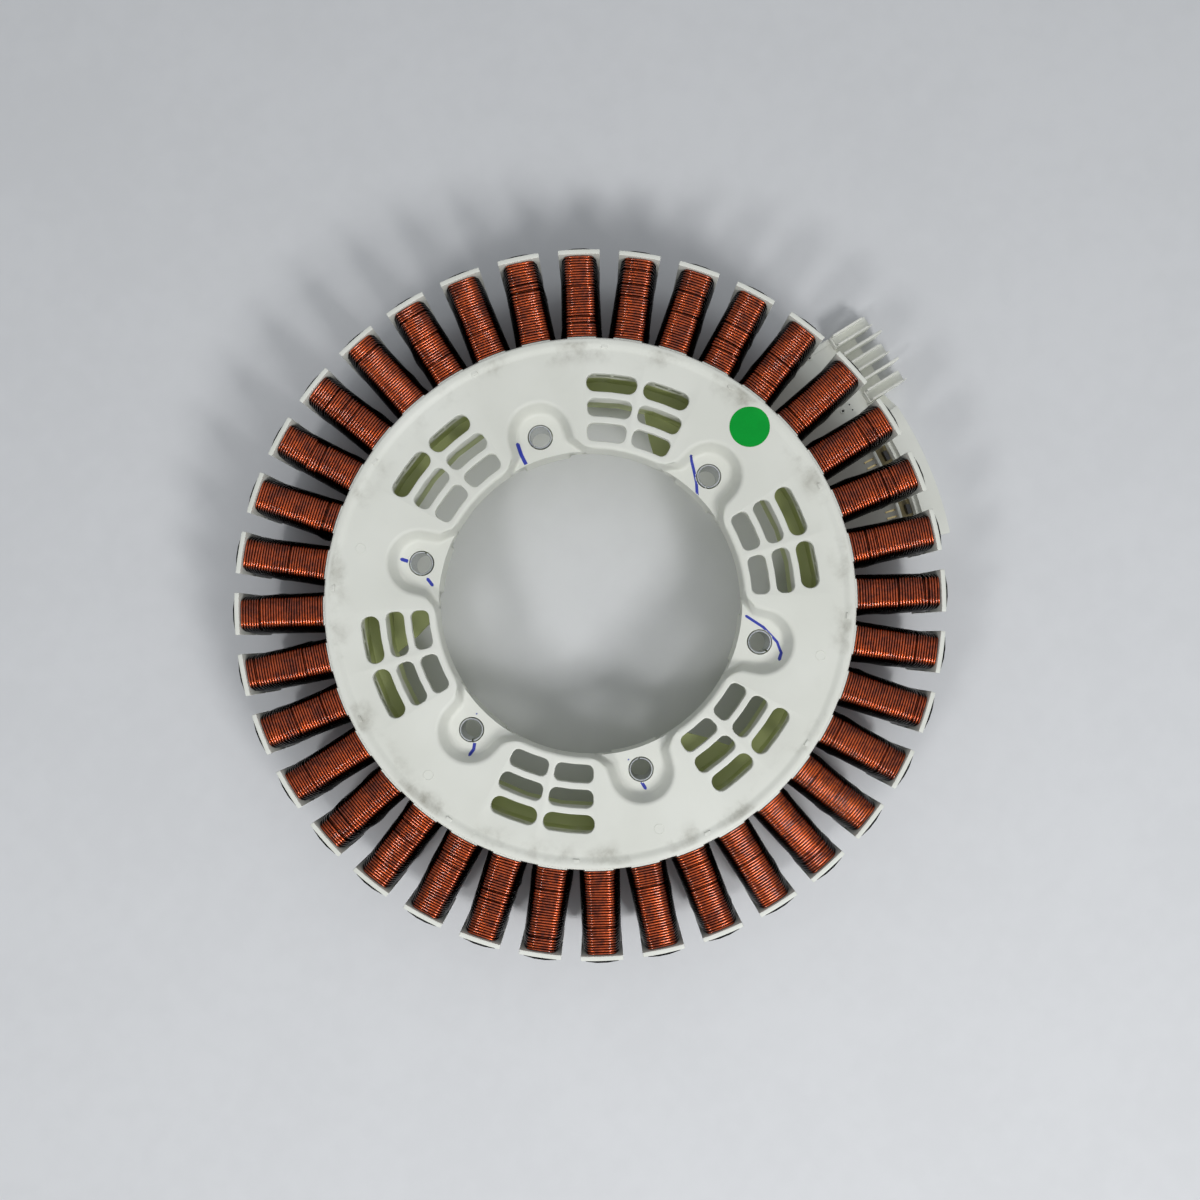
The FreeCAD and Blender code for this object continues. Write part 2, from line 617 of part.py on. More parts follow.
def connector_housing():
    """Three open channels, two fins between them and the web that joins them."""
    half = CHANNEL_WIDTH / 2.0
    face = CONNECTOR_FACE
    end = face + CHANNEL_LENGTH
    web_top = FOOT_BOTTOM + CONNECTOR_WEB_THICKNESS
    first = CHANNEL_CENTRES[0] - half
    last = CHANNEL_CENTRES[-1] + half
    body = box(face, face + CONNECTOR_WEB_LENGTH, first, last, FOOT_BOTTOM, web_top)
    added = []
    tools = []
    for centre in CHANNEL_CENTRES:
        added.append(box(face, end, centre - half, centre + half, FOOT_BOTTOM, CHANNEL_TOP))
        inside = half - CHANNEL_WALL
        tools.append(box(face, end, centre - inside, centre + inside, CHANNEL_FLOOR, CHANNEL_TOP))
        tools.append(box(face, end, centre - inside, centre + inside, FOOT_BOTTOM,
                         CHANNEL_FLOOR - CHANNEL_WALL))
        tools.append(box(end - CHANNEL_NOTCH, end, centre - inside - CHANNEL_WALL / 2.0,
                         centre + half, CHANNEL_FLOOR, CHANNEL_TOP))
    for left, right in zip(CHANNEL_CENTRES, CHANNEL_CENTRES[1:]):
        middle = (left + right) / 2.0
        added.append(box(face, face + FIN_LENGTH, middle - FIN_THICKNESS / 2.0,
                         middle + FIN_THICKNESS / 2.0, FOOT_BOTTOM, CHANNEL_TOP))
    return body.fuse(added).cut(tools).removeSplitter()


def sensor_board():
    """Circuit board on the floor of the sensor pocket."""
    gap = MOULDING_CLEARANCE
    turn = math.degrees(gap / SENSOR_POCKET_INNER)
    return sector(SENSOR_POCKET_INNER + gap, SENSOR_POCKET_OUTER - gap, SENSOR_POCKET_START + turn,
                  SENSOR_POCKET_END - turn, SENSOR_POCKET_FLOOR, SENSOR_POCKET_FLOOR + BOARD_THICKNESS)


def hall_sensors():
    """Magnetic sensors standing on the board."""
    low = SENSOR_POCKET_FLOOR + BOARD_THICKNESS
    middle = (SENSOR_POCKET_INNER + SENSOR_POCKET_OUTER) / 2.0
    one = box(middle, middle + SENSOR_THICKNESS, -SENSOR_WIDTH / 2.0, SENSOR_WIDTH / 2.0,
              low, low + SENSOR_HEIGHT)
    return Part.makeCompound([turned(one, angle) for angle in SENSOR_ANGLES])


def sensor_pins():
    """Flat conductors that lie on the tray and reach the pocket wall."""
    end = SENSOR_POCKET_INNER - SENSOR_POCKET_WALL
    low = MODULE_PLATE_TOP
    one = box(end - PIN_LENGTH, end, -PIN_WIDTH / 2.0, PIN_WIDTH / 2.0, low, low + PIN_WIDTH)
    half = PIN_SPREAD_ANGLE / 2.0
    angles = [centre + offset for centre in SENSOR_ANGLES for offset in (-half, half)]
    return Part.makeCompound([turned(one, angle) for angle in angles])


def export(name, shape):
    """Write one piece to its file."""
    shape.exportStep("parts/" + name + ".step")


def main():
    os.makedirs("parts", exist_ok=True)
    export("core_stack", core_stack())
    export("upper_insulator", upper_insulator())
    export("lower_insulator", lower_insulator())
    coil = one_coil()
    for index, angle in enumerate(tooth_angles()):
        export("coil_%02d" % (index + 1), turned(coil, angle))
    export("bushings", bushings())
    for index in range(PHASE_COUNT):
        export("crossover_wire_%d" % (index + 1), crossover(index))
    export("sensor_housing", turned(sensor_housing(), MODULE_ANGLE))
    export("connector_housing", turned(connector_housing(), MODULE_ANGLE))
    export("power_terminals", turned(Part.makeCompound(terminal_boxes(0.0)), MODULE_ANGLE))
    export("sensor_board", turned(sensor_board(), MODULE_ANGLE))
    export("hall_sensors", turned(hall_sensors(), MODULE_ANGLE))
    export("sensor_pins", turned(sensor_pins(), MODULE_ANGLE))


main()
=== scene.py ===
"""Dressed model of a wound stator: wire coils on a laminated ring between moulded bobbin halves."""
import math
import random

import bpy
import numpy as np
from mathutils import Matrix, Vector


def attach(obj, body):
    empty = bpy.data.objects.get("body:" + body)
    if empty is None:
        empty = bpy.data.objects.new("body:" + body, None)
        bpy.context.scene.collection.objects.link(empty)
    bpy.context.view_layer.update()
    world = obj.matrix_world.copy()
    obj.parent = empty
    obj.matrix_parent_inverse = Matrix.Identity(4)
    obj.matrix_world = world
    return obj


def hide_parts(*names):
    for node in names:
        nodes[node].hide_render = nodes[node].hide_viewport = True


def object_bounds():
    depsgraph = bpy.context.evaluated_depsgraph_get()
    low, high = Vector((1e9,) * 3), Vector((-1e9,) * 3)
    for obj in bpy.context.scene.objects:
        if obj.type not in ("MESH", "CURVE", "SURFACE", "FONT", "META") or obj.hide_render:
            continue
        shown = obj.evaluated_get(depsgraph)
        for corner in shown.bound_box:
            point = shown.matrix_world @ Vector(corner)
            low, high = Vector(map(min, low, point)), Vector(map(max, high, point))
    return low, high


bl_info = {
    "name": "Wound stator",
    "version": (1, 0, 0),
    "blender": (4, 5, 0),
    "location": "View3D > Sidebar > Stator",
    "description": "Builds the dressed pieces of a wound stator round its packed frame",
    "category": "Object",
}

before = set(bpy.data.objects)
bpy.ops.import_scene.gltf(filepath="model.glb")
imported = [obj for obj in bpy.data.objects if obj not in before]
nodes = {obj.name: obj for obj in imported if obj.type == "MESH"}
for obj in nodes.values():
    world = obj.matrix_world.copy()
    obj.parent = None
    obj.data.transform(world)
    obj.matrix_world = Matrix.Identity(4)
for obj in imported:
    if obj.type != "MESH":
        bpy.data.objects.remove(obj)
CAD_BOX = [list(corner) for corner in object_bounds()]

# Layout that the pieces share, in metres and degrees
TEETH = 36
BOLTS = 6
TOOTH_PITCH = 360.0 / TEETH
BOLT_PITCH = 360.0 / BOLTS
BOLT_CIRCLE = 0.0645
SPLIT_HEIGHT = -0.001
FLOOR_HEIGHT = CAD_BOX[0][2]
RIM_RADIUS = 0.0974
MODULE_ANGLE = -15.0
PHOTO_TURN = 46.9

# Camera, in millimetres right and up of the motor axis and above the table, and pixels
IMAGE_PIXELS = 1200.0
FOCAL_PIXELS = 1224.0
SENSOR_WIDTH = 36.0
EYE_RIGHT = 3.2
EYE_UP = -12.4
EYE_RISE = 500.0
AIM_RIGHT = 3.57
AIM_UP = 2.3

# Outline of a winding from the middle of its crown to its side, as shares of half width and crown drop
CROWN_ACROSS = np.array((0.0, 0.32, 0.57, 0.67, 0.735, 0.87, 1.0))
CROWN_FALL = np.array((0.0, 0.018, 0.094, 0.256, 0.506, 1.53, 2.0))
CROWN_STEPS = len(CROWN_ACROSS) - 1
LOOP_POINTS = 4 * CROWN_STEPS

# Painted shade on a winding: share of the half width where its side darkens, how fast and how much, and
# how much a sunk gap turn darkens
SIDE_START = 0.66
SIDE_SPAN = 0.10
SIDE_PAINTED_SHADE = 0.88
SINK_PAINTED_SHADE = 1200.0

# Section of the face plate from its bore to its skirt, in metres
BORE_RADIUS = 0.0565
MOUTH_START = 0.0196
MOUTH_ROUND = 0.0014
PLATE_TOP = 0.021
PLATE_UNDERSIDE = 0.018
WALL_RADIUS = 0.0587
WALL_FOOT = 0.007
LIP_START = 0.0925
LIP_WIDTH = 0.0030
LIP_RISE = 0.001
SKIRT_RADIUS = 0.0844
SKIRT_FOOT = 0.0141

# Vent slots: rows in metres, ends in degrees from the rib between a pair, corner radii row by row
SLOT_ROW_START = 0.0594
SLOT_ROW_STEP = 0.00915
SLOT_WIDTH = 0.0067
SLOT_RIB = 0.0025
SLOT_BOTTOM = 0.0165
SLOT_FLARE = 0.0004
SLOT_ENDS = ((14.15, -14.15), (14.0, -14.1), (14.2, -13.2))
SLOT_CORNERS = (0.0024, 0.0026, 0.0031)

# Bosses round the bolts and the pockets over them, in metres
BOSS_RADIUS = 0.0122
BOSS_TOP = 0.0185
HOLE_RADIUS = 0.0047
POCKET_FLOOR = 0.014
POCKET_FOOT = 0.00875
POCKET_MOUTH = 0.01185
POCKET_FILLET = 0.0019
POCKET_STRAIGHT = 0.0029
POCKET_RUN_OUT = 0.011

# Flange in front of each tooth, curved like the rotor, in metres
FLANGE_START = 0.1289
FLANGE_END = 0.1306
FLANGE_HALF = 0.00775
FLANGE_TOP = 0.0205
ROTOR_RADIUS = 0.13

# Nubs on the lip of the face plate, in metres and degrees
NUBS = 12
NUB_LOW = (0.0936, -0.0013, 0.0205)
NUB_HIGH = (0.0958, 0.0013, 0.0219)
NUB_START = 10.0

# Tray: height of its foot, its channel ends, and its posts and pin ends out from the axis and across
TRAY_FOOT = -0.0309
CHANNEL_ENDS = (0.0126, 0.0255, 0.0384)
TRAY_POSTS = ((0.1288, 0.0386), (0.1288, 0.0130))
PIN_ENDS = ((0.1325, 0.0139), (0.1325, 0.0114))

# Scale of the bands of sheets about 1 mm thick
SHEET_SCALE = 314.0

# Painted glow of the moulding, standing for light that comes through it, as a share of its colour
PAINTED_GLOW_SHARE = 0.07

# Flat pieces on the face plate: height they drop from, label (radius and angle), lifts and pen step
DROP_HEIGHT = 0.009
LABEL_RADIUS = 0.00746
LABEL_PLACE = (0.0871, 0.86)
LABEL_LIFT = 0.00008
INK_LIFT = 0.00004
INK_STEP = 0.0005

# Pen ticks as points in the picture's pixels, each with its width in metres
PEN_TICKS = (
    (((516, 440), (520, 452), (525.5, 463)), 0.0014),
    (((692, 454), (695, 466), (698, 480), (699, 496)), 0.0011),
    (((747.5, 615), (766, 627), (780, 642), (784, 653), (781, 661)), 0.0010),
    (((641.5, 783), (647, 792)), 0.0012),
    (((473, 743), (471.6, 751), (467, 757.5)), 0.0012),
    (((397, 557.6), (409, 561.4)), 0.0013),
    (((424, 577), (430.6, 585.5)), 0.0012),
    (((691.4, 453.2), (692.6, 455.4)), 0.0016),
    (((628.5, 761.0), (629.5, 762.0)), 0.0009),
    (((474.2, 714.5), (475.2, 715.5)), 0.0008),
)

# Lamps: name, millimetres right and up of the axis and above its middle plane, side in metres, watts
LAMPS = (
    ("lamp right", 400.0, -500.0, 770.0, 0.24, 4.0),
    ("lamp left", -400.0, -480.0, 770.0, 0.16, 2.0),
    ("lamp fill", 250.0, 100.0, 1300.0, 1.30, 3.0),
)
ROOM_COLOUR = (0.9, 0.95, 1.0, 1.0)
ROOM_STRENGTH = 0.34


def polar(radius, angle, height=0.0):
    """Point at a radius and an angle in degrees about the motor axis."""
    turn = math.radians(angle)
    return Vector((radius * math.cos(turn), radius * math.sin(turn), height))


def turn_matrix(angle):
    """Turn about the motor axis by an angle in degrees."""
    return Matrix.Rotation(math.radians(angle), 4, "Z")


# Selection and modelling helpers

def deselect():
    """Leave object mode with nothing selected."""
    if bpy.context.object is not None and bpy.context.object.mode != "OBJECT":
        bpy.ops.object.mode_set(mode="OBJECT")
    bpy.ops.object.select_all(action="DESELECT")


def pick(obj):
    """Make one object the only selected one and the active one."""
    deselect()
    obj.select_set(True)
    bpy.context.view_layer.objects.active = obj


def edit(obj):
    """Open an object for editing with everything selected."""
    pick(obj)
    bpy.context.tool_settings.mesh_select_mode = (True, False, False)
    bpy.ops.object.mode_set(mode="EDIT")
    bpy.ops.mesh.select_all(action="SELECT")


def close_edit():
    """Go back to object mode."""
    bpy.ops.object.mode_set(mode="OBJECT")


def select_faces(obj, test):
    """Select the faces of an object in object mode by a test of centre and normal."""
    bpy.context.tool_settings.mesh_select_mode = (False, False, True)
    for vertex in obj.data.vertices:
        vertex.select = False
    for edge in obj.data.edges:
        edge.select = False
    for face in obj.data.polygons:
        face.select = bool(test(face.center, face.normal))


def select_edges(obj, test):
    """Select the edges of an object in object mode by a test of their two ends."""
    bpy.context.tool_settings.mesh_select_mode = (False, True, False)
    points = obj.data.vertices
    for face in obj.data.polygons:
        face.select = False
    for vertex in points:
        vertex.select = False
    for edge in obj.data.edges:
        first, second = edge.vertices
        edge.select = bool(test(points[first].co, points[second].co))


def bake_place(obj):
    """Put an object's place into its mesh."""
    pick(obj)
    bpy.ops.object.transform_apply(location=True, rotation=True, scale=True)


def joined(parts, name):
    """Join several objects into one."""
    deselect()
    for part in parts:
        part.select_set(True)
    bpy.context.view_layer.objects.active = parts[0]
    bpy.ops.object.join()
    result = bpy.context.object
    result.name = name
    result.data.name = name
    return result


def copied(obj, matrix, name):
    """Copy of an object with its own mesh, moved in its mesh."""
    twin = obj.copy()
    twin.data = obj.data.copy()
    twin.data.transform(matrix)
    twin.name = name
    twin.data.name = name
    bpy.context.scene.collection.objects.link(twin)
    return twin


def remove(obj):
    """Delete a helper object and its mesh."""
    mesh = obj.data
    bpy.data.objects.remove(obj)
    if mesh.users == 0:
        bpy.data.meshes.remove(mesh)


def outward(obj):
    """Merge doubles and point the faces outwards."""
    edit(obj)
    bpy.ops.mesh.remove_doubles(threshold=1e-6)
    bpy.ops.mesh.normals_make_consistent(inside=False)
    close_edit()


def soften(obj, width, segments=2, angle=30.0):
    """Round the edges sharper than an angle with a bevel that is applied."""
    pick(obj)
    bevel = obj.modifiers.new("edge rounding", "BEVEL")
    bevel.width = width
    bevel.segments = segments
    bevel.limit_method = "ANGLE"
    bevel.angle_limit = math.radians(angle)
    bevel.use_clamp_overlap = True
    bpy.ops.object.modifier_apply(modifier=bevel.name)


def smooth(obj, angle):
    """Smooth shading up to an angle between faces."""
    pick(obj)
    bpy.ops.object.shade_smooth_by_angle(angle=math.radians(angle))


def boolean(obj, other, operation):
    """Join or cut with another object, which is then removed."""
    pick(obj)
    cut = obj.modifiers.new("boolean", "BOOLEAN")
    cut.operation = operation
    cut.solver = "EXACT"
    cut.object = other
    bpy.ops.object.modifier_apply(modifier=cut.name)
    remove(other)


def block(low, high, name="block"):
    """Block between two corners."""
    deselect()
    middle = (Vector(low) + Vector(high)) / 2.0
    size = Vector(high) - Vector(low)
    bpy.ops.mesh.primitive_cube_add(size=1.0, location=middle)
    made = bpy.context.object
    made.name = name
    made.scale = size
    bake_place(made)
    return made


def cylinder(radius, low, high, place=(0.0, 0.0), sides=48):
    """Upright cylinder between two heights."""
    deselect()
    bpy.ops.mesh.primitive_cylinder_add(vertices=sides, radius=radius, depth=high - low,
                                        location=(place[0], place[1], (low + high) / 2.0))
    made = bpy.context.object
    bake_place(made)
    return made


def chain(points, name):
    """Chain of edges extruded from one vertex through the points."""
    deselect()
    bpy.ops.mesh.primitive_plane_add(size=0.001, location=(0, 0, 0))
    made = bpy.context.object
    made.name = name
    edit(made)
    bpy.ops.mesh.merge(type="CENTER")
    bpy.ops.transform.translate(value=Vector(points[0]))
    for before, after in zip(points, points[1:]):
        step = Vector(after) - Vector(before)
        bpy.ops.mesh.extrude_vertices_move(TRANSFORM_OT_translate={"value": step})
    close_edit()
    return made


def spun(profile, steps, angle=360.0, name="spun"):
    """Body of revolution of a closed (radius, height) profile about the motor axis."""
    closed = list(profile) + [profile[0]]
    made = chain([(radius, 0.0, height) for radius, height in closed], name)
    edit(made)
    bpy.ops.mesh.remove_doubles(threshold=1e-7)
    if angle < 360.0:
        bpy.ops.mesh.edge_face_add()
    bpy.ops.mesh.spin(steps=steps, angle=math.radians(angle), center=(0, 0, 0), axis=(0, 0, 1))
    bpy.ops.mesh.select_all(action="SELECT")
    bpy.ops.mesh.remove_doubles(threshold=1e-6)
    bpy.ops.mesh.normals_make_consistent(inside=False)
    close_edit()
    return made


def merged_copy(node, name):
    """Copy of a frame node with its triangles merged into flat faces."""
    twin = copied(nodes[node], Matrix.Identity(4), name)
    twin.parent = None
    for key in list(twin.keys()):
        del twin[key]
    edit(twin)
    bpy.ops.mesh.remove_doubles(threshold=1e-6)
    bpy.ops.mesh.dissolve_limited(angle_limit=math.radians(1.0))
    close_edit()
    return twin


def finish_piece(obj, material, replaced=()):
    """Give a piece its finish and tie it to the frame."""
    obj.data.materials.clear()
    obj.data.materials.append(material)
    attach(obj, "root")
    if replaced:
        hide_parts(*replaced)


def repaint(node, material):
    """New finish for a frame node whose shape stays."""
    obj = nodes[node]
    if not obj.material_slots:
        obj.data.materials.append(material)
    for slot in obj.material_slots:
        slot.material = material


# Shader groups

def new_group(name, inputs, outputs):
    """Empty shader group with named sockets."""
    group = bpy.data.node_groups.new(name, "ShaderNodeTree")
    for label, kind, value in inputs:
        socket = group.interface.new_socket(name=label, in_out="INPUT", socket_type=kind)
        if value is not None:
            socket.default_value = value
    for label, kind in outputs:
        group.interface.new_socket(name=label, in_out="OUTPUT", socket_type=kind)
    start = group.nodes.new("NodeGroupInput")
    end = group.nodes.new("NodeGroupOutput")
    return group, start, end


def math_node(tree, operation, first, second=None, clamp=False):
    """Math node with sockets or numbers as its inputs."""
    node = tree.nodes.new("ShaderNodeMath")
    node.operation = operation
    node.use_clamp = clamp
    for index, value in enumerate((first, second)):
        if value is None:
            continue
        if isinstance(value, (int, float)):
            node.inputs[index].default_value = value
        else:
            tree.links.new(value, node.inputs[index])
    return node.outputs[0]


def mix_node(tree, factor, first, second):
    """Mix of two colours."""
    node = tree.nodes.new("ShaderNodeMix")
    node.data_type = "RGBA"
    for socket, value in ((node.inputs[0], factor), (node.inputs[6], first), (node.inputs[7], second)):
        if isinstance(value, bpy.types.NodeSocket):
            tree.links.new(value, socket)
        else:
            socket.default_value = value
    return node.outputs[2]


def noise_node(tree, vector, scale, detail=3.0, roughness=0.5):
    """Noise over a vector, with a number or a socket as its scale."""
    node = tree.nodes.new("ShaderNodeTexNoise")
    node.inputs["Detail"].default_value = detail
    node.inputs["Roughness"].default_value = roughness
    tree.links.new(vector, node.inputs["Vector"])
    if isinstance(scale, (int, float)):
        node.inputs["Scale"].default_value = scale
    else:
        tree.links.new(scale, node.inputs["Scale"])
    return node.outputs["Fac"]


def ramp_node(tree, value, low, high):
    """Smooth step of a value between two numbers."""
    node = tree.nodes.new("ShaderNodeMapRange")
    node.interpolation_type = "SMOOTHSTEP"
    node.inputs["From Min"].default_value = low
    node.inputs["From Max"].default_value = high
    tree.links.new(value, node.inputs["Value"])
    return node.outputs["Result"]


def grain_group():
    """Fine grain of a moulded or rolled surface, from 0 to 1."""
    group, start, end = new_group(
        "fine_grain",
        [("Vector", "NodeSocketVector", None), ("Scale", "NodeSocketFloat", 900.0)],
        [("Value", "NodeSocketFloat")])
    coarse = math_node(group, "MULTIPLY", start.outputs["Scale"], 0.16)
    fine = noise_node(group, start.outputs["Vector"], start.outputs["Scale"], 4.0)
    broad = noise_node(group, start.outputs["Vector"], coarse, 3.0)
    total = math_node(group, "ADD", fine, broad)
    group.links.new(math_node(group, "MULTIPLY", total, 0.5), end.inputs["Value"])
    return group


def dirt_group():
    """Patches of handling dirt over a colour; along the lip of the face plate the same patches also stand
    for painted shade.
    """
    group, start, end = new_group(
        "handling_dirt",
        [("Vector", "NodeSocketVector", None), ("Colour", "NodeSocketColor", (0.8, 0.8, 0.8, 1.0)),
         ("Dirt Colour", "NodeSocketColor", (0.2, 0.18, 0.14, 1.0)),
         ("Scale", "NodeSocketFloat", 60.0), ("Amount", "NodeSocketFloat", 0.3)],
        [("Colour", "NodeSocketColor")])
    fine_scale = math_node(group, "MULTIPLY", start.outputs["Scale"], 6.0)
    patch = noise_node(group, start.outputs["Vector"], start.outputs["Scale"], 5.0, 0.6)
    fleck = noise_node(group, start.outputs["Vector"], fine_scale, 4.0, 0.7)
    patch = ramp_node(group, patch, 0.46, 0.72)
    fleck = math_node(group, "MULTIPLY", ramp_node(group, fleck, 0.4, 0.75), 0.4)
    fleck = math_node(group, "ADD", fleck, 0.6)
    mask = math_node(group, "MULTIPLY", patch, fleck)
    mask = math_node(group, "MULTIPLY", mask, start.outputs["Amount"], clamp=True)
    colour = mix_node(group, mask, start.outputs["Colour"], start.outputs["Dirt Colour"])
    group.links.new(colour, end.inputs["Colour"])
    return group


def radial_group():
    """Distance from the motor axis and height of a point."""
    group, start, end = new_group(
        "axis_distance", [("Vector", "NodeSocketVector", None)],
        [("Radius", "NodeSocketFloat"), ("Height", "NodeSocketFloat")])
    split = group.nodes.new("ShaderNodeSeparateXYZ")
    group.links.new(start.outputs["Vector"], split.inputs[0])
    across = math_node(group, "POWER", split.outputs[0], 2.0)
    along = math_node(group, "POWER", split.outputs[1], 2.0)
    square = math_node(group, "ADD", across, along)
    group.links.new(math_node(group, "SQRT", square), end.inputs["Radius"])
    group.links.new(split.outputs[2], end.inputs["Height"])
    return group


def placed_group(tree, name, **values):
    """Put a shader group into a tree with sockets or values as its inputs."""
    node = tree.nodes.new("ShaderNodeGroup")
    node.node_tree = bpy.data.node_groups[name]
    for label, value in values.items():
        socket = node.inputs[label.replace("_", " ")]
        if isinstance(value, bpy.types.NodeSocket):
            tree.links.new(value, socket)
        else:
            socket.default_value = value
    return node


def new_material(name, metallic=0.0):
    """Material with its shader and the object coordinates."""
    material = bpy.data.materials.new(name)
    material.use_nodes = True
    tree = material.node_tree
    shader = tree.nodes["Principled BSDF"]
    shader.inputs["Metallic"].default_value = metallic
    place = tree.nodes.new("ShaderNodeTexCoord").outputs["Object"]
    return material, tree, shader, place


def add_bump(tree, shader, height, distance):
    """Bump from a height value, in metres of depth."""
    bump = tree.nodes.new("ShaderNodeBump")
    bump.inputs["Distance"].default_value = distance
    bump.inputs["Strength"].default_value = 1.0
    tree.links.new(height, bump.inputs["Height"])
    tree.links.new(bump.outputs["Normal"], shader.inputs["Normal"])


def add_roughness(tree, shader, value, low, high):
    """Roughness between two levels by a value from 0 to 1."""
    span = math_node(tree, "MULTIPLY", value, high - low)
    tree.links.new(math_node(tree, "ADD", span, low), shader.inputs["Roughness"])


def scaled(colour, share):
    """Colour made darker by a share, with full alpha."""
    return tuple(share * part for part in colour[:3]) + (1.0,)


# Materials

def moulded_plastic(name, colours, recess_radius, recess_height, lip_dirt_and_shade, glow=0.0):
    """Satin moulding with a painted olive tint and a painted glow deep inside for light that comes
    through it, handling dirt with painted shade along its lip, and an optional painted glow all over.
    """
    material, tree, shader, place = new_material(name)
    grain = placed_group(tree, "fine_grain", Vector=place, Scale=1400.0).outputs["Value"]
    spot = placed_group(tree, "axis_distance", Vector=place)
    radius = spot.outputs["Radius"]
    height = spot.outputs["Height"]
    cloud = noise_node(tree, place, 22.0, 3.0)
    base = mix_node(tree, ramp_node(tree, cloud, 0.3, 0.7), tuple(colours.plastic),
                    tuple(colours.plastic_shade))
    # Painted olive tint: deep inside, beyond the bore and within a radius, the colour turns olive for
    # light that comes through the plastic
    outside = ramp_node(tree, radius, recess_radius - 0.0006, recess_radius + 0.0002)
    inside = math_node(tree, "SUBTRACT", 1.0, outside)
    beyond_bore = ramp_node(tree, radius, 0.0588, 0.0595)
    shallow = ramp_node(tree, height, recess_height - 0.0015, recess_height + 0.001)
    deep = math_node(tree, "SUBTRACT", 1.0, shallow)
    olive = math_node(tree, "MULTIPLY", math_node(tree, "MULTIPLY", inside, beyond_bore), deep)
    base = mix_node(tree, olive, base, tuple(colours.painted_recess_tint))
    # Handling dirt and painted shade: the dirt patches grow in a band inside the lip, where its fillet
    # falls into shade
    past_lip = ramp_node(tree, radius, 0.0953, 0.0965)
    near_lip = math_node(tree, "MULTIPLY", ramp_node(tree, radius, 0.086, 0.0935),
                         math_node(tree, "SUBTRACT", 1.0, past_lip))
    amount = math_node(tree, "ADD", math_node(tree, "MULTIPLY", near_lip, lip_dirt_and_shade), 0.05)
    dirt = placed_group(tree, "handling_dirt", Vector=place, Colour=base, Dirt_Colour=tuple(colours.dirt),
                        Scale=55.0, Amount=amount)
    tree.links.new(dirt.outputs["Colour"], shader.inputs["Base Color"])
    add_roughness(tree, shader, grain, 0.36, 0.56)
    add_bump(tree, shader, grain, 0.00003)
    shader.inputs["Specular IOR Level"].default_value = 0.45
    # Painted glow: the olive tint glows by a share of its colour, the rest of the moulding by the glow
    # share of the plastic colour
    through = mix_node(tree, olive, scaled(colours.plastic, glow), scaled(colours.painted_recess_tint, PAINTED_GLOW_SHARE))
    tree.links.new(through, shader.inputs["Emission Color"])
    shader.inputs["Emission Strength"].default_value = 1.0
    return material


def enamelled_wire(name, colours, wound):
    """Copper wire under clear enamel, with painted shade between the turns and on the sides of a winding.
    """
    material, tree, shader, place = new_material(name, 1.0)
    tone = noise_node(tree, place, 150.0, 4.0, 0.6)
    strand = noise_node(tree, place, 700.0, 2.0)
    blend = math_node(tree, "ADD", math_node(tree, "MULTIPLY", tone, 0.6),
                      math_node(tree, "MULTIPLY", strand, 0.4))
    base = mix_node(tree, ramp_node(tree, blend, 0.36, 0.62), tuple(colours.copper_shade),
                    tuple(colours.copper))
    coat = 0.9
    shader.inputs["Coat Weight"].default_value = coat
    if wound:
        # Painted shade: an attribute of the winding darkens the colour towards the shade colour and takes
        # the coat away between the turns, on the sides and in sunk gap turns
        attribute = tree.nodes.new("ShaderNodeAttribute")
        attribute.attribute_name = "crest"
        crest = ramp_node(tree, attribute.outputs["Fac"], 0.1, 0.95)
        base = mix_node(tree, crest, tuple(colours.copper_in_shade), base)
        tree.links.new(math_node(tree, "MULTIPLY", crest, coat), shader.inputs["Coat Weight"])
    tree.links.new(base, shader.inputs["Base Color"])
    grain = placed_group(tree, "fine_grain", Vector=place, Scale=2600.0).outputs["Value"]
    add_roughness(tree, shader, grain, 0.285, 0.335)
    add_bump(tree, shader, strand, 0.00001)
    shader.inputs["Coat IOR"].default_value = 1.6
    shader.inputs["Coat Roughness"].default_value = 0.09
    return material


def laminated_steel(name, colours):
    """Edges of punched sheets with a dark film of varnish."""
    material, tree, shader, place = new_material(name, 0.85)
    wave = tree.nodes.new("ShaderNodeTexWave")
    wave.wave_type = "BANDS"
    wave.bands_direction = "Z"
    wave.inputs["Scale"].default_value = SHEET_SCALE
    wave.inputs["Distortion"].default_value = 0.6
    tree.links.new(place, wave.inputs["Vector"])
    sheet = wave.outputs["Fac"]
    patches = noise_node(tree, place, 160.0, 4.0, 0.6)
    base = mix_node(tree, ramp_node(tree, patches, 0.35, 0.7), tuple(colours.core_steel),
                    tuple(colours.core_rust))
    base = mix_node(tree, ramp_node(tree, sheet, 0.0, 0.25), tuple(colours.core_gap), base)
    tree.links.new(base, shader.inputs["Base Color"])
    add_roughness(tree, shader, patches, 0.32, 0.6)
    add_bump(tree, shader, sheet, 0.00006)
    return material


def plain_metal(name, colour, roughness, scale):
    """Plated or drawn metal with fine scratches."""
    material, tree, shader, place = new_material(name, 1.0)
    stretch = tree.nodes.new("ShaderNodeMapping")
    stretch.inputs["Scale"].default_value = (1.0, 1.0, 0.15)
    tree.links.new(place, stretch.inputs["Vector"])
    along = stretch.outputs["Vector"]
    grain = placed_group(tree, "fine_grain", Vector=along, Scale=scale).outputs["Value"]
    base = mix_node(tree, ramp_node(tree, grain, 0.35, 0.65), scaled(colour, 0.82), colour)
    tree.links.new(base, shader.inputs["Base Color"])
    add_roughness(tree, shader, grain, roughness - 0.06, roughness + 0.08)
    add_bump(tree, shader, grain, 0.000006)
    return material


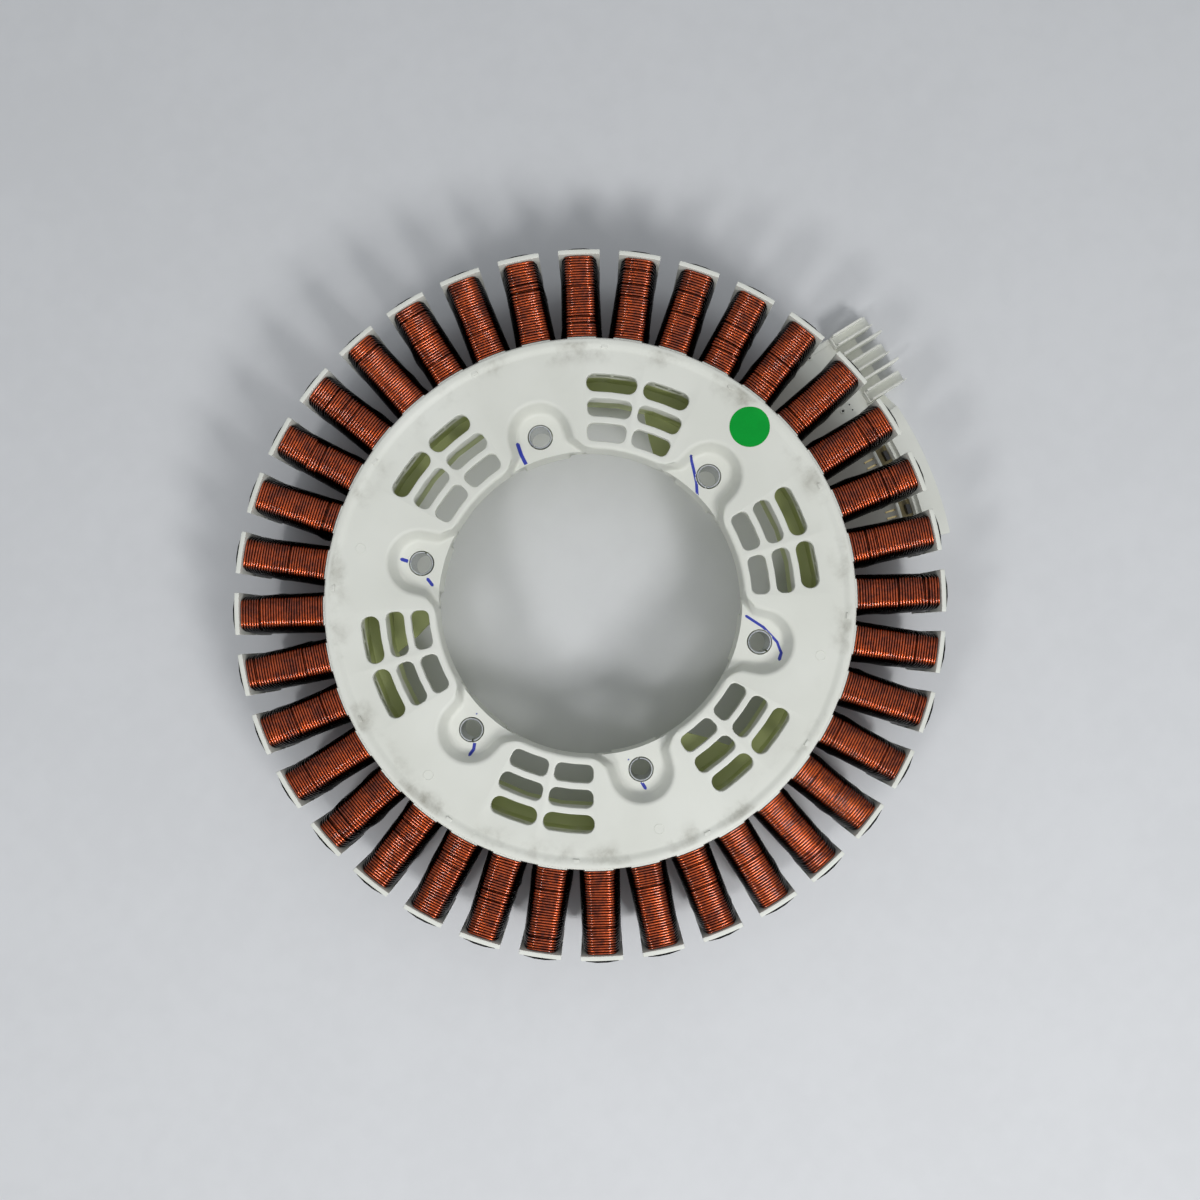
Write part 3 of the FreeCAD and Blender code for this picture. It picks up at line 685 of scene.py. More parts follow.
def matt_surface(name, colour, roughness, scale, contrast=0.85, shine=0.5):
    """Matt coat, paper or resin with faint uneven tone."""
    material, tree, shader, place = new_material(name)
    grain = placed_group(tree, "fine_grain", Vector=place, Scale=scale).outputs["Value"]
    base = mix_node(tree, ramp_node(tree, grain, 0.35, 0.65), scaled(colour, contrast), colour)
    tree.links.new(base, shader.inputs["Base Color"])
    add_roughness(tree, shader, grain, roughness - 0.06, roughness + 0.08)
    add_bump(tree, shader, grain, 0.00002)
    shader.inputs["Specular IOR Level"].default_value = shine
    return material


# Sizes and colours that a user would change

def length(name, default, description):
    """Length property in metres."""
    return bpy.props.FloatProperty(name=name, default=default, description=description,
                                   subtype="DISTANCE", unit="LENGTH", precision=5)


def colour(name, red, green, blue, description):
    """Colour property from 0 to 255 sRGB levels."""
    levels = []
    for value in (red, green, blue):
        share = value / 255.0
        levels.append(share / 12.92 if share <= 0.04045 else ((share + 0.055) / 1.055) ** 2.4)
    return bpy.props.FloatVectorProperty(name=name, default=(*levels, 1.0), size=4, subtype="COLOR",
                                         min=0.0, max=1.0, description=description)


class StatorSizes(bpy.types.PropertyGroup):
    """Sizes of the dressed pieces."""
    turns: bpy.props.IntProperty(name="Turns in view", default=32, min=8, max=60,
                                 description="Turns of wire side by side on one tooth")
    coil_start: length("Coil start", 0.09815, "Radius at which the winding begins")
    coil_end: length("Coil end", 0.1288, "Radius at which the winding ends")
    coil_inner_half: length("Inner half width", 0.0079, "Half the width of the winding at the yoke")
    coil_outer_half: length("Outer half width", 0.0074, "Half the width of the winding at the tip")
    coil_inner_top: length("Inner top", 0.0200, "Height of the winding at the yoke")
    coil_outer_top: length("Outer top", 0.0192, "Height of the winding at the tip")
    crown_drop: length("Crown drop", 0.0034, "Height of the winding's oval crown")
    edge_round: length("Edge rounding", 0.00035, "Rounding of the moulded edges")


class StatorColours(bpy.types.PropertyGroup):
    """Colours of the finishes."""
    plastic: colour("Plastic", 222, 223, 215, "Moulded bobbin halves")
    plastic_shade: colour("Plastic shade", 214, 215, 206, "Uneven tone of the mouldings")
    # Painted olive tint deep inside the mouldings, standing for light that comes through the plastic
    painted_recess_tint: colour("Recess", 160, 168, 112, "Plastic deep inside, seen by light that comes through it")
    # Also used for painted shade along the lip of the face plate
    dirt: colour("Dirt", 140, 137, 124, "Handling dirt")
    copper: colour("Copper", 194, 80, 20, "Enamelled wire")
    copper_shade: colour("Copper shade", 122, 43, 7, "Enamelled wire where the enamel is thick")
    # Painted shade of the wire between two turns and on the sides of a winding
    copper_in_shade: colour("Copper gap", 9, 3, 1, "Wire between two turns")
    core_steel: colour("Core steel", 50, 50, 49, "Edges of the punched sheets")
    core_rust: colour("Core patches", 36, 34, 32, "Dull patches on the sheets")
    core_gap: colour("Sheet gaps", 14, 14, 14, "Lines between the sheets")
    zinc: colour("Zinc", 205, 208, 210, "Plated bushings")
    brass: colour("Tinned brass", 196, 178, 132, "Blades and pins")
    board: colour("Board", 108, 96, 58, "Circuit board")
    resin: colour("Resin", 30, 30, 31, "Sensor bodies")
    label: colour("Label", 0, 152, 50, "Round paper label")
    ink: colour("Ink", 36, 52, 168, "Marker ink")
    floor: colour("Floor", 214, 215, 217, "Table under the stator")


# Pieces

class STATOR_OT_finishes(bpy.types.Operator):
    """Make the shader groups and the materials"""
    bl_idname = "stator.finishes"
    bl_label = "Finishes"

    def execute(self, context):
        colours = context.scene.stator_colours
        grain_group()
        dirt_group()
        radial_group()
        # Both mouldings get the painted olive tint and glow deep inside; the face plate also gets dirt
        # and painted shade along its lip
        moulded_plastic("rotor side plastic", colours, 0.0850, 0.0120, 0.8)
        moulded_plastic("lead side plastic", colours, 0.0850, 0.0125, 0.0)
        # The tray glows all over by the painted glow share of its colour
        moulded_plastic("tray plastic", colours, 0.0200, -0.5, 0.0, PAINTED_GLOW_SHARE)
        enamelled_wire("enamelled wire", colours, True)
        enamelled_wire("lead wire", colours, False)
        laminated_steel("laminated steel", colours)
        plain_metal("zinc plated steel", tuple(colours.zinc), 0.24, 900.0)
        plain_metal("tinned brass", tuple(colours.brass), 0.3, 2600.0)
        matt_surface("board resin", tuple(colours.board), 0.5, 1800.0, 0.7)
        matt_surface("sensor resin", tuple(colours.resin), 0.4, 2400.0, 0.8)
        matt_surface("green label", tuple(colours.label), 0.6, 1500.0, 0.93, 0.12)
        matt_surface("marker ink", tuple(colours.ink), 0.45, 2500.0, 0.75)
        return {"FINISHED"}


def coil_outline(loop, half, height, drop):
    """Points of the winding's outline across its tooth, with an oval crown above straight sides."""
    quarter, place = np.divmod(loop, CROWN_STEPS)
    index = np.where(quarter % 2 == 0, place, CROWN_STEPS - place)
    across = half * CROWN_ACROSS[index]
    upward = np.where(index == CROWN_STEPS, 0.0, height - drop * CROWN_FALL[index])
    across = np.where(quarter < 2, across, -across)
    upward = np.where((quarter == 0) | (quarter == 3), upward, -upward)
    return across, upward


def plain_turn(sizes):
    """One turn of a winding on a round loop, as five rings of faces side by side."""
    pitch = (sizes.coil_end - sizes.coil_start) / sizes.turns
    rings = 5
    deselect()
    bpy.ops.mesh.primitive_circle_add(vertices=LOOP_POINTS, radius=0.01, fill_type="NOTHING",
                                      rotation=(0.0, math.radians(90.0), 0.0))
    turn = bpy.context.object
    bake_place(turn)
    edit(turn)
    bpy.ops.mesh.select_mode(type="EDGE")
    for step in range(rings):
        bpy.ops.mesh.select_all(action="DESELECT")
        close_edit()
        low = pitch / rings * step - 1e-6
        select_edges(turn, lambda a, b: min(a.x, b.x) > low)
        bpy.ops.object.mode_set(mode="EDIT")
        bpy.ops.mesh.extrude_edges_move(TRANSFORM_OT_translate={"value": (pitch / rings, 0.0, 0.0)})
    close_edit()
    return turn


def plain_winding(sizes):
    """Row of turns side by side, closed at both ends, still on a round loop."""
    winding = plain_turn(sizes)
    pitch = (sizes.coil_end - sizes.coil_start) / sizes.turns
    pick(winding)
    row = winding.modifiers.new("turns", "ARRAY")
    row.count = sizes.turns
    row.use_relative_offset = False
    row.use_constant_offset = True
    row.constant_offset_displace = (pitch, 0.0, 0.0)
    row.use_merge_vertices = True
    row.merge_threshold = 1e-5
    bpy.ops.object.modifier_apply(modifier=row.name)
    total = pitch * sizes.turns
    for end in (0.0, total):
        select_edges(winding, lambda a, b, end=end: max(abs(a.x - end), abs(b.x - end)) < 1e-6)
        bpy.ops.object.mode_set(mode="EDIT")
        bpy.ops.mesh.edge_face_add()
        close_edit()
    edit(winding)
    bpy.ops.mesh.normals_make_consistent(inside=False)
    close_edit()
    return winding


def lumps(chance, turns, low, high, count):
    """Extra build of each turn where wires ride up on others."""
    steps = np.arange(turns)
    extra = np.zeros(turns)
    for _ in range(count):
        middle = chance.uniform(0.0, turns)
        reach = chance.uniform(1.2, 4.0)
        extra += chance.uniform(low, high) * np.exp(-((steps - middle) / reach) ** 2)
    return extra


def lay_of_turns(turns, chance):
    """Width, sink, roll, side shift, lift and slant of each turn of one coil."""
    width = np.array([chance.uniform(0.94, 1.06) for _ in range(turns)])
    sink = np.zeros(turns)
    roll = np.zeros(turns)
    shift = np.zeros(turns)
    lift = np.array([chance.gauss(0.0, 0.000015) for _ in range(turns)])
    slant = np.array([chance.gauss(0.0, 0.03) for _ in range(turns)])
    gaps = sorted(chance.sample(range(4, turns - 3), chance.choice((1, 2, 2, 3))))
    for first, last in zip([0] + gaps, gaps + [turns]):
        roll[first:last] = math.radians(chance.gauss(0.0, 2.2))
        shift[first:last] = chance.gauss(0.0, 0.00016)
        lift[first:last] += chance.gauss(0.0, 0.00008)
    for gap in gaps:
        width[gap] = chance.uniform(0.35, 0.55)
        sink[gap] = chance.uniform(0.0003, 0.0005)
    untidy = chance.choice((0, 2, 4, 6))
    for turn in range(untidy):
        share = 1.0 - turn / untidy
        lift[turn] += share * chance.uniform(-0.00018, 0.00022)
        slant[turn] += share * chance.uniform(-0.45, 0.45)
    middle = chance.uniform(0.2, 0.9) * turns
    amount = chance.choice((-1.0, 1.0)) * chance.uniform(0.1, 0.6)
    steps = np.arange(turns)
    slant += amount * np.exp(-((steps - middle) / 1.6) ** 2)
    return width, sink, roll, shift, lift, slant


def wind(mesh, sizes, chance):
    """Shape a row of turns into one coil with its own uneven lay."""
    place = np.zeros(len(mesh.vertices) * 3)
    mesh.vertices.foreach_get("co", place)
    place = place.reshape(-1, 3)
    turns = sizes.turns
    length = sizes.coil_end - sizes.coil_start
    pitch = length / turns
    along = place[:, 0] / pitch
    turn = np.clip(np.floor(along + 1e-4), 0, turns - 1).astype(int)
    phase = np.clip(along - turn, 0.0, 1.0)
    around = np.degrees(np.arctan2(place[:, 1], place[:, 2]))
    loop = np.round(around / (360.0 / LOOP_POINTS)).astype(int) % LOOP_POINTS

    width, sink, roll, shift, lift, slant = lay_of_turns(turns, chance)
    left = lumps(chance, turns, 0.0002, 0.0005, chance.choice((0, 1, 1, 2)))
    right = lumps(chance, turns, 0.0002, 0.0005, chance.choice((0, 1, 1, 2)))
    over = lumps(chance, turns, 0.00003, 0.00012, 1)
    starts = np.concatenate(([0.0], np.cumsum(width)))
    starts *= length / starts[-1]
    run = starts[turn] + phase * (starts[turn + 1] - starts[turn])
    share = run / length

    wire = 0.5 * pitch
    rib = np.sqrt(np.clip(1.0 - (2.0 * phase - 1.0) ** 2, 0.0, 1.0))
    before = np.maximum(turn - 1, 0)
    valley = phase < 0.02

    def level(values):
        return np.where(valley, 0.5 * (values[turn] + values[before]), values[turn])

    half = sizes.coil_inner_half + (sizes.coil_outer_half - sizes.coil_inner_half) * share
    top = sizes.coil_inner_top + (sizes.coil_outer_top - sizes.coil_inner_top) * share - SPLIT_HEIGHT
    depth = wire * (1.0 - rib) + level(sink)
    across, upward = coil_outline(loop, half - depth, top - depth, sizes.crown_drop)
    facing = np.clip(np.abs(across) / half, 0.0, 1.0)
    side = np.where(across > 0.0, level(right), level(left))
    across = across + np.sign(across) * side * facing ** 3
    upward = upward + np.sign(upward) * (level(lift) + level(over) * (1.0 - facing ** 2))
    turned = level(roll)
    crown = np.clip(np.abs(upward) / top, 0.0, 1.0) ** 4
    upward = upward + across * np.sin(turned) * crown
    across = across + level(shift) * crown
    skew = level(slant) * pitch * across / half * np.sign(upward)
    fade = np.clip(np.minimum(share, 1.0 - share) * 12.0, 0.0, 1.0)
    place[:, 0] = sizes.coil_start + np.clip(run + skew * fade, 0.0, length)
    place[:, 1] = across
    place[:, 2] = upward + SPLIT_HEIGHT
    mesh.vertices.foreach_set("co", place.ravel())
    # Painted shade as an attribute: 1 on top of each wire, 0 in the valleys between turns, and lower on
    # the sides of the winding and in sunk gap turns
    crest = mesh.attributes.new("crest", "FLOAT", "POINT")
    flank = np.clip((facing - SIDE_START) / SIDE_SPAN, 0.0, 1.0)
    painted_light_level = rib * (1.0 - SINK_PAINTED_SHADE * level(sink)) * (1.0 - SIDE_PAINTED_SHADE * flank)
    crest.data.foreach_set("value", painted_light_level)
    mesh.update()


class STATOR_OT_windings(bpy.types.Operator):
    """Wind the coils, each with its own uneven lay"""
    bl_idname = "stator.windings"
    bl_label = "Windings"

    def execute(self, context):
        sizes = context.scene.stator_sizes
        chance = random.Random(36)
        wire = bpy.data.materials["enamelled wire"]
        plain = plain_winding(sizes)
        for index in range(TEETH):
            name = "coil_%02d" % (index + 1)
            coil = copied(plain, Matrix.Identity(4), "wound_" + name)
            wind(coil.data, sizes, chance)
            coil.data.transform(turn_matrix(TOOTH_PITCH * (index + 0.5)))
            smooth(coil, 50.0)
            finish_piece(coil, wire, (name,))
        remove(plain)
        for index in range(3):
            name = "crossover_wire_%d" % (index + 1)
            lead = merged_copy(name, "rounded_" + name)
            soften(lead, 0.0003, 3, 35.0)
            smooth(lead, 60.0)
            finish_piece(lead, bpy.data.materials["lead wire"], (name,))
        return {"FINISHED"}


def plate_profile():
    """Closed profile of the face plate with its lip, rim and skirt."""
    points = [(BORE_RADIUS, WALL_FOOT), (BORE_RADIUS, MOUTH_START)]
    for step in range(1, 6):
        turn = math.radians(18.0 * step)
        points.append((BORE_RADIUS + MOUTH_ROUND * (1.0 - math.cos(turn)),
                       MOUTH_START + MOUTH_ROUND * math.sin(turn)))
    points.append((LIP_START, PLATE_TOP))
    for step in range(1, 7):
        share = step / 6.0
        rise = share * share * (3.0 - 2.0 * share)
        points.append((LIP_START + LIP_WIDTH * share, PLATE_TOP + LIP_RISE * rise))
    points += [(0.0965, 0.022), (0.0969, 0.0219), (0.0972, 0.02165), (RIM_RADIUS, 0.0213)]
    points += [(RIM_RADIUS, SKIRT_FOOT), (SKIRT_RADIUS, SKIRT_FOOT), (SKIRT_RADIUS, PLATE_UNDERSIDE)]
    points += [(WALL_RADIUS, PLATE_UNDERSIDE), (WALL_RADIUS, WALL_FOOT)]
    return points


def mouth_steps(flare):
    """Growth to each side and rise of the mouth of a slot, from its wall to above the plate."""
    steps = []
    before = 0.0
    for turn in (30.0, 60.0, 90.0):
        grow = flare * (1.0 - math.cos(math.radians(turn)))
        rise = flare * (math.sin(math.radians(turn)) - math.sin(math.radians(before)))
        steps.append((grow, rise))
        before = turn
    steps.append((flare * 1.6, 0.001))
    return steps


def rounded_bar(inner, outer, start, end, corner):
    """Cutter for one vent slot: bent bar with rounded corners and a flared mouth."""
    middle = (inner + outer) / 2.0
    wide = (outer - inner) / 2.0
    long = math.radians(end - start) / 2.0 * middle
    bar = block((-wide, -long, SLOT_BOTTOM), (wide, long, PLATE_TOP - SLOT_FLARE))
    select_edges(bar, lambda a, b: abs(a.z - b.z) > 1e-5)
    bpy.ops.object.mode_set(mode="EDIT")
    bpy.ops.mesh.select_mode(type="EDGE")
    bpy.ops.mesh.bevel(offset=corner, segments=6, affect="EDGES")
    close_edit()
    select_faces(bar, lambda centre, normal: normal.z > 0.9)
    bpy.ops.object.mode_set(mode="EDIT")
    bpy.ops.mesh.select_mode(type="FACE")
    reached = 0.0
    for grow, rise in mouth_steps(SLOT_FLARE):
        factors = ((wide + grow) / (wide + reached), (long + grow) / (long + reached), 1.0)
        bpy.ops.mesh.extrude_region_move(TRANSFORM_OT_translate={"value": (0.0, 0.0, rise)})
        bpy.ops.transform.resize(value=factors, center_override=(0.0, 0.0, 0.0))
        reached = grow
    bpy.ops.mesh.select_all(action="SELECT")
    bpy.ops.mesh.subdivide(number_cuts=1)
    close_edit()
    for vertex in bar.data.vertices:
        radius = middle + vertex.co.x
        angle = math.radians((start + end) / 2.0) + vertex.co.y / middle
        vertex.co = Vector((radius * math.cos(angle), radius * math.sin(angle), vertex.co.z))
    return bar


def slot_cutters():
    """Cutters for all vent slots, two beside each other in each of three rows."""
    parts = []
    for row, ((first_end, second_end), corner) in enumerate(zip(SLOT_ENDS, SLOT_CORNERS)):
        inner = SLOT_ROW_START + row * SLOT_ROW_STEP
        outer = inner + SLOT_WIDTH
        rib = math.degrees(SLOT_RIB / (inner + outer))
        one = rounded_bar(inner, outer, rib, first_end, corner)
        two = rounded_bar(inner, outer, second_end, -rib, corner)
        for index in range(BOLTS):
            turn = turn_matrix(BOLT_PITCH * (index + 0.5))
            parts.append(copied(one, turn, "slot"))
            parts.append(copied(two, turn, "slot"))
        remove(one)
        remove(two)
    return parts


def pocket_side(radius, flare, bend):
    """Half outline of a boss pocket from its far side to inside the bore, as offsets from the bolt."""
    side = []
    for step in range(13):
        turn = math.radians(7.5 * step)
        side.append((radius * math.cos(turn), radius * math.sin(turn)))
    for step in range(1, 9):
        turn = math.radians(bend * step / 8.0)
        side.append((-POCKET_STRAIGHT - flare * math.sin(turn), radius + flare * (1.0 - math.cos(turn))))
    across, along = side[-1]
    side.append((across - POCKET_RUN_OUT, along + POCKET_RUN_OUT))
    return side


def pocket_ring(radius, flare, bend, height):
    """Closed outline of a boss pocket at one height."""
    side = pocket_side(radius, flare, bend)
    outline = [(x, -y) for x, y in reversed(side[1:])] + side
    return [Vector((BOLT_CIRCLE + x, y, height)) for x, y in outline]


def pocket_levels():
    """Radius, flare, bend and height of the outlines of a pocket with rounded mouth and floor."""
    slope = math.atan2(PLATE_TOP - POCKET_FLOOR, POCKET_MOUTH - POCKET_FOOT)
    corner = POCKET_FILLET * math.tan(slope / 2.0)
    sizes = []
    for step in range(5):
        turn = slope * step / 4.0
        sizes.append((POCKET_FOOT - corner + POCKET_FILLET * math.sin(turn),
                      POCKET_FLOOR + POCKET_FILLET * (1.0 - math.cos(turn))))
    sizes.append(((POCKET_FOOT + POCKET_MOUTH) / 2.0, (POCKET_FLOOR + PLATE_TOP) / 2.0))
    for step in range(5):
        turn = slope * (1.0 - step / 4.0)
        sizes.append((POCKET_MOUTH + corner - POCKET_FILLET * math.sin(turn),
                      PLATE_TOP - POCKET_FILLET * (1.0 - math.cos(turn))))
    sizes.append((sizes[-1][0] + 0.0004, PLATE_TOP + 0.0010))
    flare, more_flare = 0.004, 0.004
    bend, more_bend = 45.0, 29.0
    levels = []
    for radius, height in sizes:
        share = min((height - POCKET_FLOOR) / (PLATE_TOP - POCKET_FLOOR), 1.0)
        levels.append((radius, flare + more_flare * share, bend + more_bend * share, height))
    return levels


def pocket_cutter():
    """Cutter for the pocket over the boss on +X, built from outlines bridged upwards."""
    levels = pocket_levels()
    rings = []
    for radius, flare, bend, height in levels:
        outline = pocket_ring(radius, flare, bend, height)
        ring = chain(outline + [outline[0]], "pocket ring")
        edit(ring)
        bpy.ops.mesh.remove_doubles(threshold=1e-7)
        close_edit()
        rings.append(ring)
    cutter = joined(rings, "pocket")
    edit(cutter)
    bpy.ops.mesh.select_mode(type="EDGE")
    bpy.ops.mesh.bridge_edge_loops()
    bpy.ops.mesh.select_all(action="DESELECT")
    close_edit()
    for end in (levels[0][-1], levels[-1][-1]):
        select_edges(cutter, lambda a, b, end=end: max(abs(a.z - end), abs(b.z - end)) < 1e-6)
        bpy.ops.object.mode_set(mode="EDIT")
        bpy.ops.mesh.edge_face_add()
        close_edit()
    outward(cutter)
    return cutter


def flange(sizes):
    """Outer flange of the bobbin on the tooth along +X, curved like the rotor."""
    body = block((FLANGE_START, -FLANGE_HALF, -0.001), (FLANGE_END, FLANGE_HALF, FLANGE_TOP), "flange")
    select_edges(body, lambda a, b: abs(a.y - b.y) > 0.01)
    bpy.ops.object.mode_set(mode="EDIT")
    bpy.ops.mesh.subdivide(number_cuts=7)
    close_edit()
    for vertex in body.data.vertices:
        vertex.co.x -= vertex.co.y ** 2 / (2.0 * ROTOR_RADIUS)
    soften(body, 0.7 * sizes.edge_round, 3)
    return body


def round_the_bolts(obj, name):
    """Copies of a piece over +X at each bolt, joined; the piece itself goes."""
    parts = [copied(obj, turn_matrix(BOLT_PITCH * index), name) for index in range(BOLTS)]
    remove(obj)
    return joined(parts, name)


def rim_step():
    """Shallow step of the rim over the tooth along +X."""
    half = 3.1
    inner, outer, low = 0.0968, 0.09785, 0.0150
    profile = [(inner, low), (outer, low), (outer, 0.02115), (0.0976, 0.0214), (inner, 0.0217)]
    step = spun(profile, 8, 2.0 * half, "rim step")
    step.data.transform(turn_matrix(half))
    middle = sum((vertex.co for vertex in step.data.vertices), Vector()) / len(step.data.vertices)
    step.data.transform(turn_matrix(-math.degrees(math.atan2(middle.y, middle.x))))
    return step


def near_bolt(point, reach):
    """Whether a point lies within a reach of a bolt's axis."""
    angle = math.degrees(math.atan2(point.y, point.x))
    bolt = polar(BOLT_CIRCLE, BOLT_PITCH * round(angle / BOLT_PITCH))
    return math.hypot(point.x - bolt.x, point.y - bolt.y) < reach


def cut_plate():
    """Face plate with its bosses, holes, pockets and vent slots."""
    plate = spun(plate_profile(), 216, name="rotor_side_moulding")
    boss = cylinder(BOSS_RADIUS, 0.0, BOSS_TOP, (BOLT_CIRCLE, 0.0), 64)
    root = block((BOLT_CIRCLE - 0.0100, -0.0165, 0.0075), (BOLT_CIRCLE - 0.0040, 0.0165, 0.0186))
    boolean(plate, round_the_bolts(boss, "bosses"), "UNION")
    boolean(plate, round_the_bolts(root, "boss roots"), "UNION")
    boolean(plate, cylinder(BORE_RADIUS - 0.00002, -0.001, 0.03, sides=216), "DIFFERENCE")
    hole = cylinder(HOLE_RADIUS, -0.001, 0.0150, (BOLT_CIRCLE, 0.0))
    boolean(plate, round_the_bolts(hole, "holes"), "DIFFERENCE")
    boolean(plate, round_the_bolts(pocket_cutter(), "pockets"), "DIFFERENCE")
    boolean(plate, joined(slot_cutters(), "slots"), "DIFFERENCE")
    return plate


def inner_walls():
    """Walls and gussets behind the face plate, taken over from the solid."""
    def made_anew(centre, normal):
        radius = math.hypot(centre.x, centre.y)
        return centre.z > 0.0179 or radius > 0.0835 or radius < 0.0588 or near_bolt(centre, 0.0126)

    wall = merged_copy("upper_insulator", "inner walls")
    select_faces(wall, made_anew)
    bpy.ops.object.mode_set(mode="EDIT")
    bpy.ops.mesh.delete(type="FACE")
    close_edit()
    return wall


class STATOR_OT_face_plate(bpy.types.Operator):
    """Rotor-side moulding: face plate, bosses, vent slots, pockets, nubs and flanges"""
    bl_idname = "stator.face_plate"
    bl_label = "Rotor-side moulding"

    def execute(self, context):
        plate = cut_plate()
        parts = [plate]
        over_teeth = (
            flange(context.scene.stator_sizes),
            block((0.0970, -0.0046, SKIRT_FOOT), (FLANGE_START, 0.0046, 0.0170), "cap"),
            rim_step(),
        )
        for index in range(TEETH):
            turn = turn_matrix(TOOTH_PITCH * (index + 0.5))
            parts += [copied(piece, turn, piece.name) for piece in over_teeth]
        for piece in over_teeth:
            remove(piece)
        nub = block(NUB_LOW, NUB_HIGH, "nub")
        soften(nub, 0.0004, 3)
        parts += [copied(nub, turn_matrix(NUB_START + 360.0 / NUBS * index), "nub")
                  for index in range(NUBS)]
        remove(nub)
        parts.append(inner_walls())
        plate = joined(parts, "rotor_side_moulding")
        smooth(plate, 32.0)
        plastic = bpy.data.materials["rotor side plastic"]
        finish_piece(plate, plastic, ("upper_insulator",))
        return {"FINISHED"}


class STATOR_OT_lead_side(bpy.types.Operator):
    """Lead-side moulding and the laminated ring"""
    bl_idname = "stator.lead_side"
    bl_label = "Lead side and core"

    def execute(self, context):
        lower = merged_copy("lower_insulator", "lead_side_moulding")
        soften(lower, context.scene.stator_sizes.edge_round)
        smooth(lower, 35.0)
        plastic = bpy.data.materials["lead side plastic"]
        finish_piece(lower, plastic, ("lower_insulator",))
        repaint("core_stack", bpy.data.materials["laminated steel"])
        return {"FINISHED"}


class STATOR_OT_bushings(bpy.types.Operator):
    """Split spring bushings in the bosses"""
    bl_idname = "stator.bushings"
    bl_label = "Bushings"

    def execute(self, context):
        slit_starts = (200.0, 115.0, 250.0, 40.0, 165.0, 310.0)
        slit = 10.0
        inner, outer, low, high = 0.00375, 0.00435, 0.0, 0.0144
        edge = 0.00018
        outwards = Matrix.Translation((BOLT_CIRCLE, 0.0, 0.0))
        profile = [(inner, low), (outer, low), (outer, high - edge), (outer - edge, high),
                   (inner + edge, high), (inner, high - edge)]
        parts = []
        for index, start in enumerate(slit_starts):
            sleeve = spun(profile, 60, 360.0 - slit, "sleeve")
            turn = turn_matrix(start + slit / 2.0)
            sleeve.data.transform(turn_matrix(BOLT_PITCH * index) @ outwards @ turn)
            parts.append(sleeve)
        sleeves = joined(parts, "split_bushings")
        smooth(sleeves, 35.0)
        steel = bpy.data.materials["zinc plated steel"]
        finish_piece(sleeves, steel, ("bushings",))
        return {"FINISHED"}


def tray_trim():
    """Edge strip beside the last channel, ends of the channels, ramp of the raised strip, two posts."""
    edge = block((0.1050, 0.0385, TRAY_FOOT), (0.1395, 0.0413, -0.0270), "edge strip")
    seams = [block((0.1391, y - 0.0025, TRAY_FOOT), (0.1398, y + 0.0025, -0.0232), "seam")
             for y in CHANNEL_ENDS]
    ramp = block((0.1385, 0.0027, TRAY_FOOT), (0.1464, 0.0098, -0.0196), "ramp")
    for vertex in ramp.data.vertices:
        if vertex.co.y > 0.005 and vertex.co.z > -0.02:
            vertex.co.z = -0.0256
    parts = [edge, ramp] + seams
    for part in parts:
        soften(part, 0.0003)
    for x, y in TRAY_POSTS:
        deselect()
        bpy.ops.mesh.primitive_torus_add(location=(x, y, -0.0268), major_radius=0.00085,
                                         minor_radius=0.00035, major_segments=32, minor_segments=10)
        post = bpy.context.object
        bake_place(post)
        parts.append(post)
    for part in parts:
        part.data.transform(turn_matrix(MODULE_ANGLE))
    return parts


def tray_pits():
    """Dark resin discs as painted shade in the hollows of the two posts and two pin ends on the tray."""
    pit_shadows = []
    for places, radius in ((TRAY_POSTS, 0.0006), (PIN_ENDS, 0.0003)):
        for place in places:
            pit_shadow = cylinder(radius, -0.0271, -0.02685, place, 24)
            soften(pit_shadow, 0.00008)
            pit_shadow.data.transform(turn_matrix(MODULE_ANGLE))
            pit_shadows.append(pit_shadow)
    return joined(pit_shadows, "tray_pits")


class STATOR_OT_module(bpy.types.Operator):
    """Sensor tray, connector and their inner pieces"""
    bl_idname = "stator.module"
    bl_label = "Tray and connector"

    def execute(self, context):
        plastic = bpy.data.materials["tray plastic"]
        for node, name in (("sensor_housing", "sensor_tray"), ("connector_housing", "connector_body")):
            piece = merged_copy(node, name)
            soften(piece, 0.0003)
            if node == "sensor_housing":
                piece = joined([piece] + tray_trim(), name)
            smooth(piece, 35.0)
            finish_piece(piece, plastic, (node,))
        # Dark discs as painted shade in the post and pin hollows
        pit_shadows = tray_pits()
        smooth(pit_shadows, 35.0)
        finish_piece(pit_shadows, bpy.data.materials["sensor resin"])
        repaint("power_terminals", bpy.data.materials["tinned brass"])
        repaint("sensor_pins", bpy.data.materials["tinned brass"])
        repaint("sensor_board", bpy.data.materials["board resin"])
        repaint("hall_sensors", bpy.data.materials["sensor resin"])
        return {"FINISHED"}


def photo_point(right, up, height):
    """Point of the frame from millimetres right and up of the axis as the camera sees it."""
    return turn_matrix(-PHOTO_TURN) @ Vector((right * 0.001, up * 0.001, height))


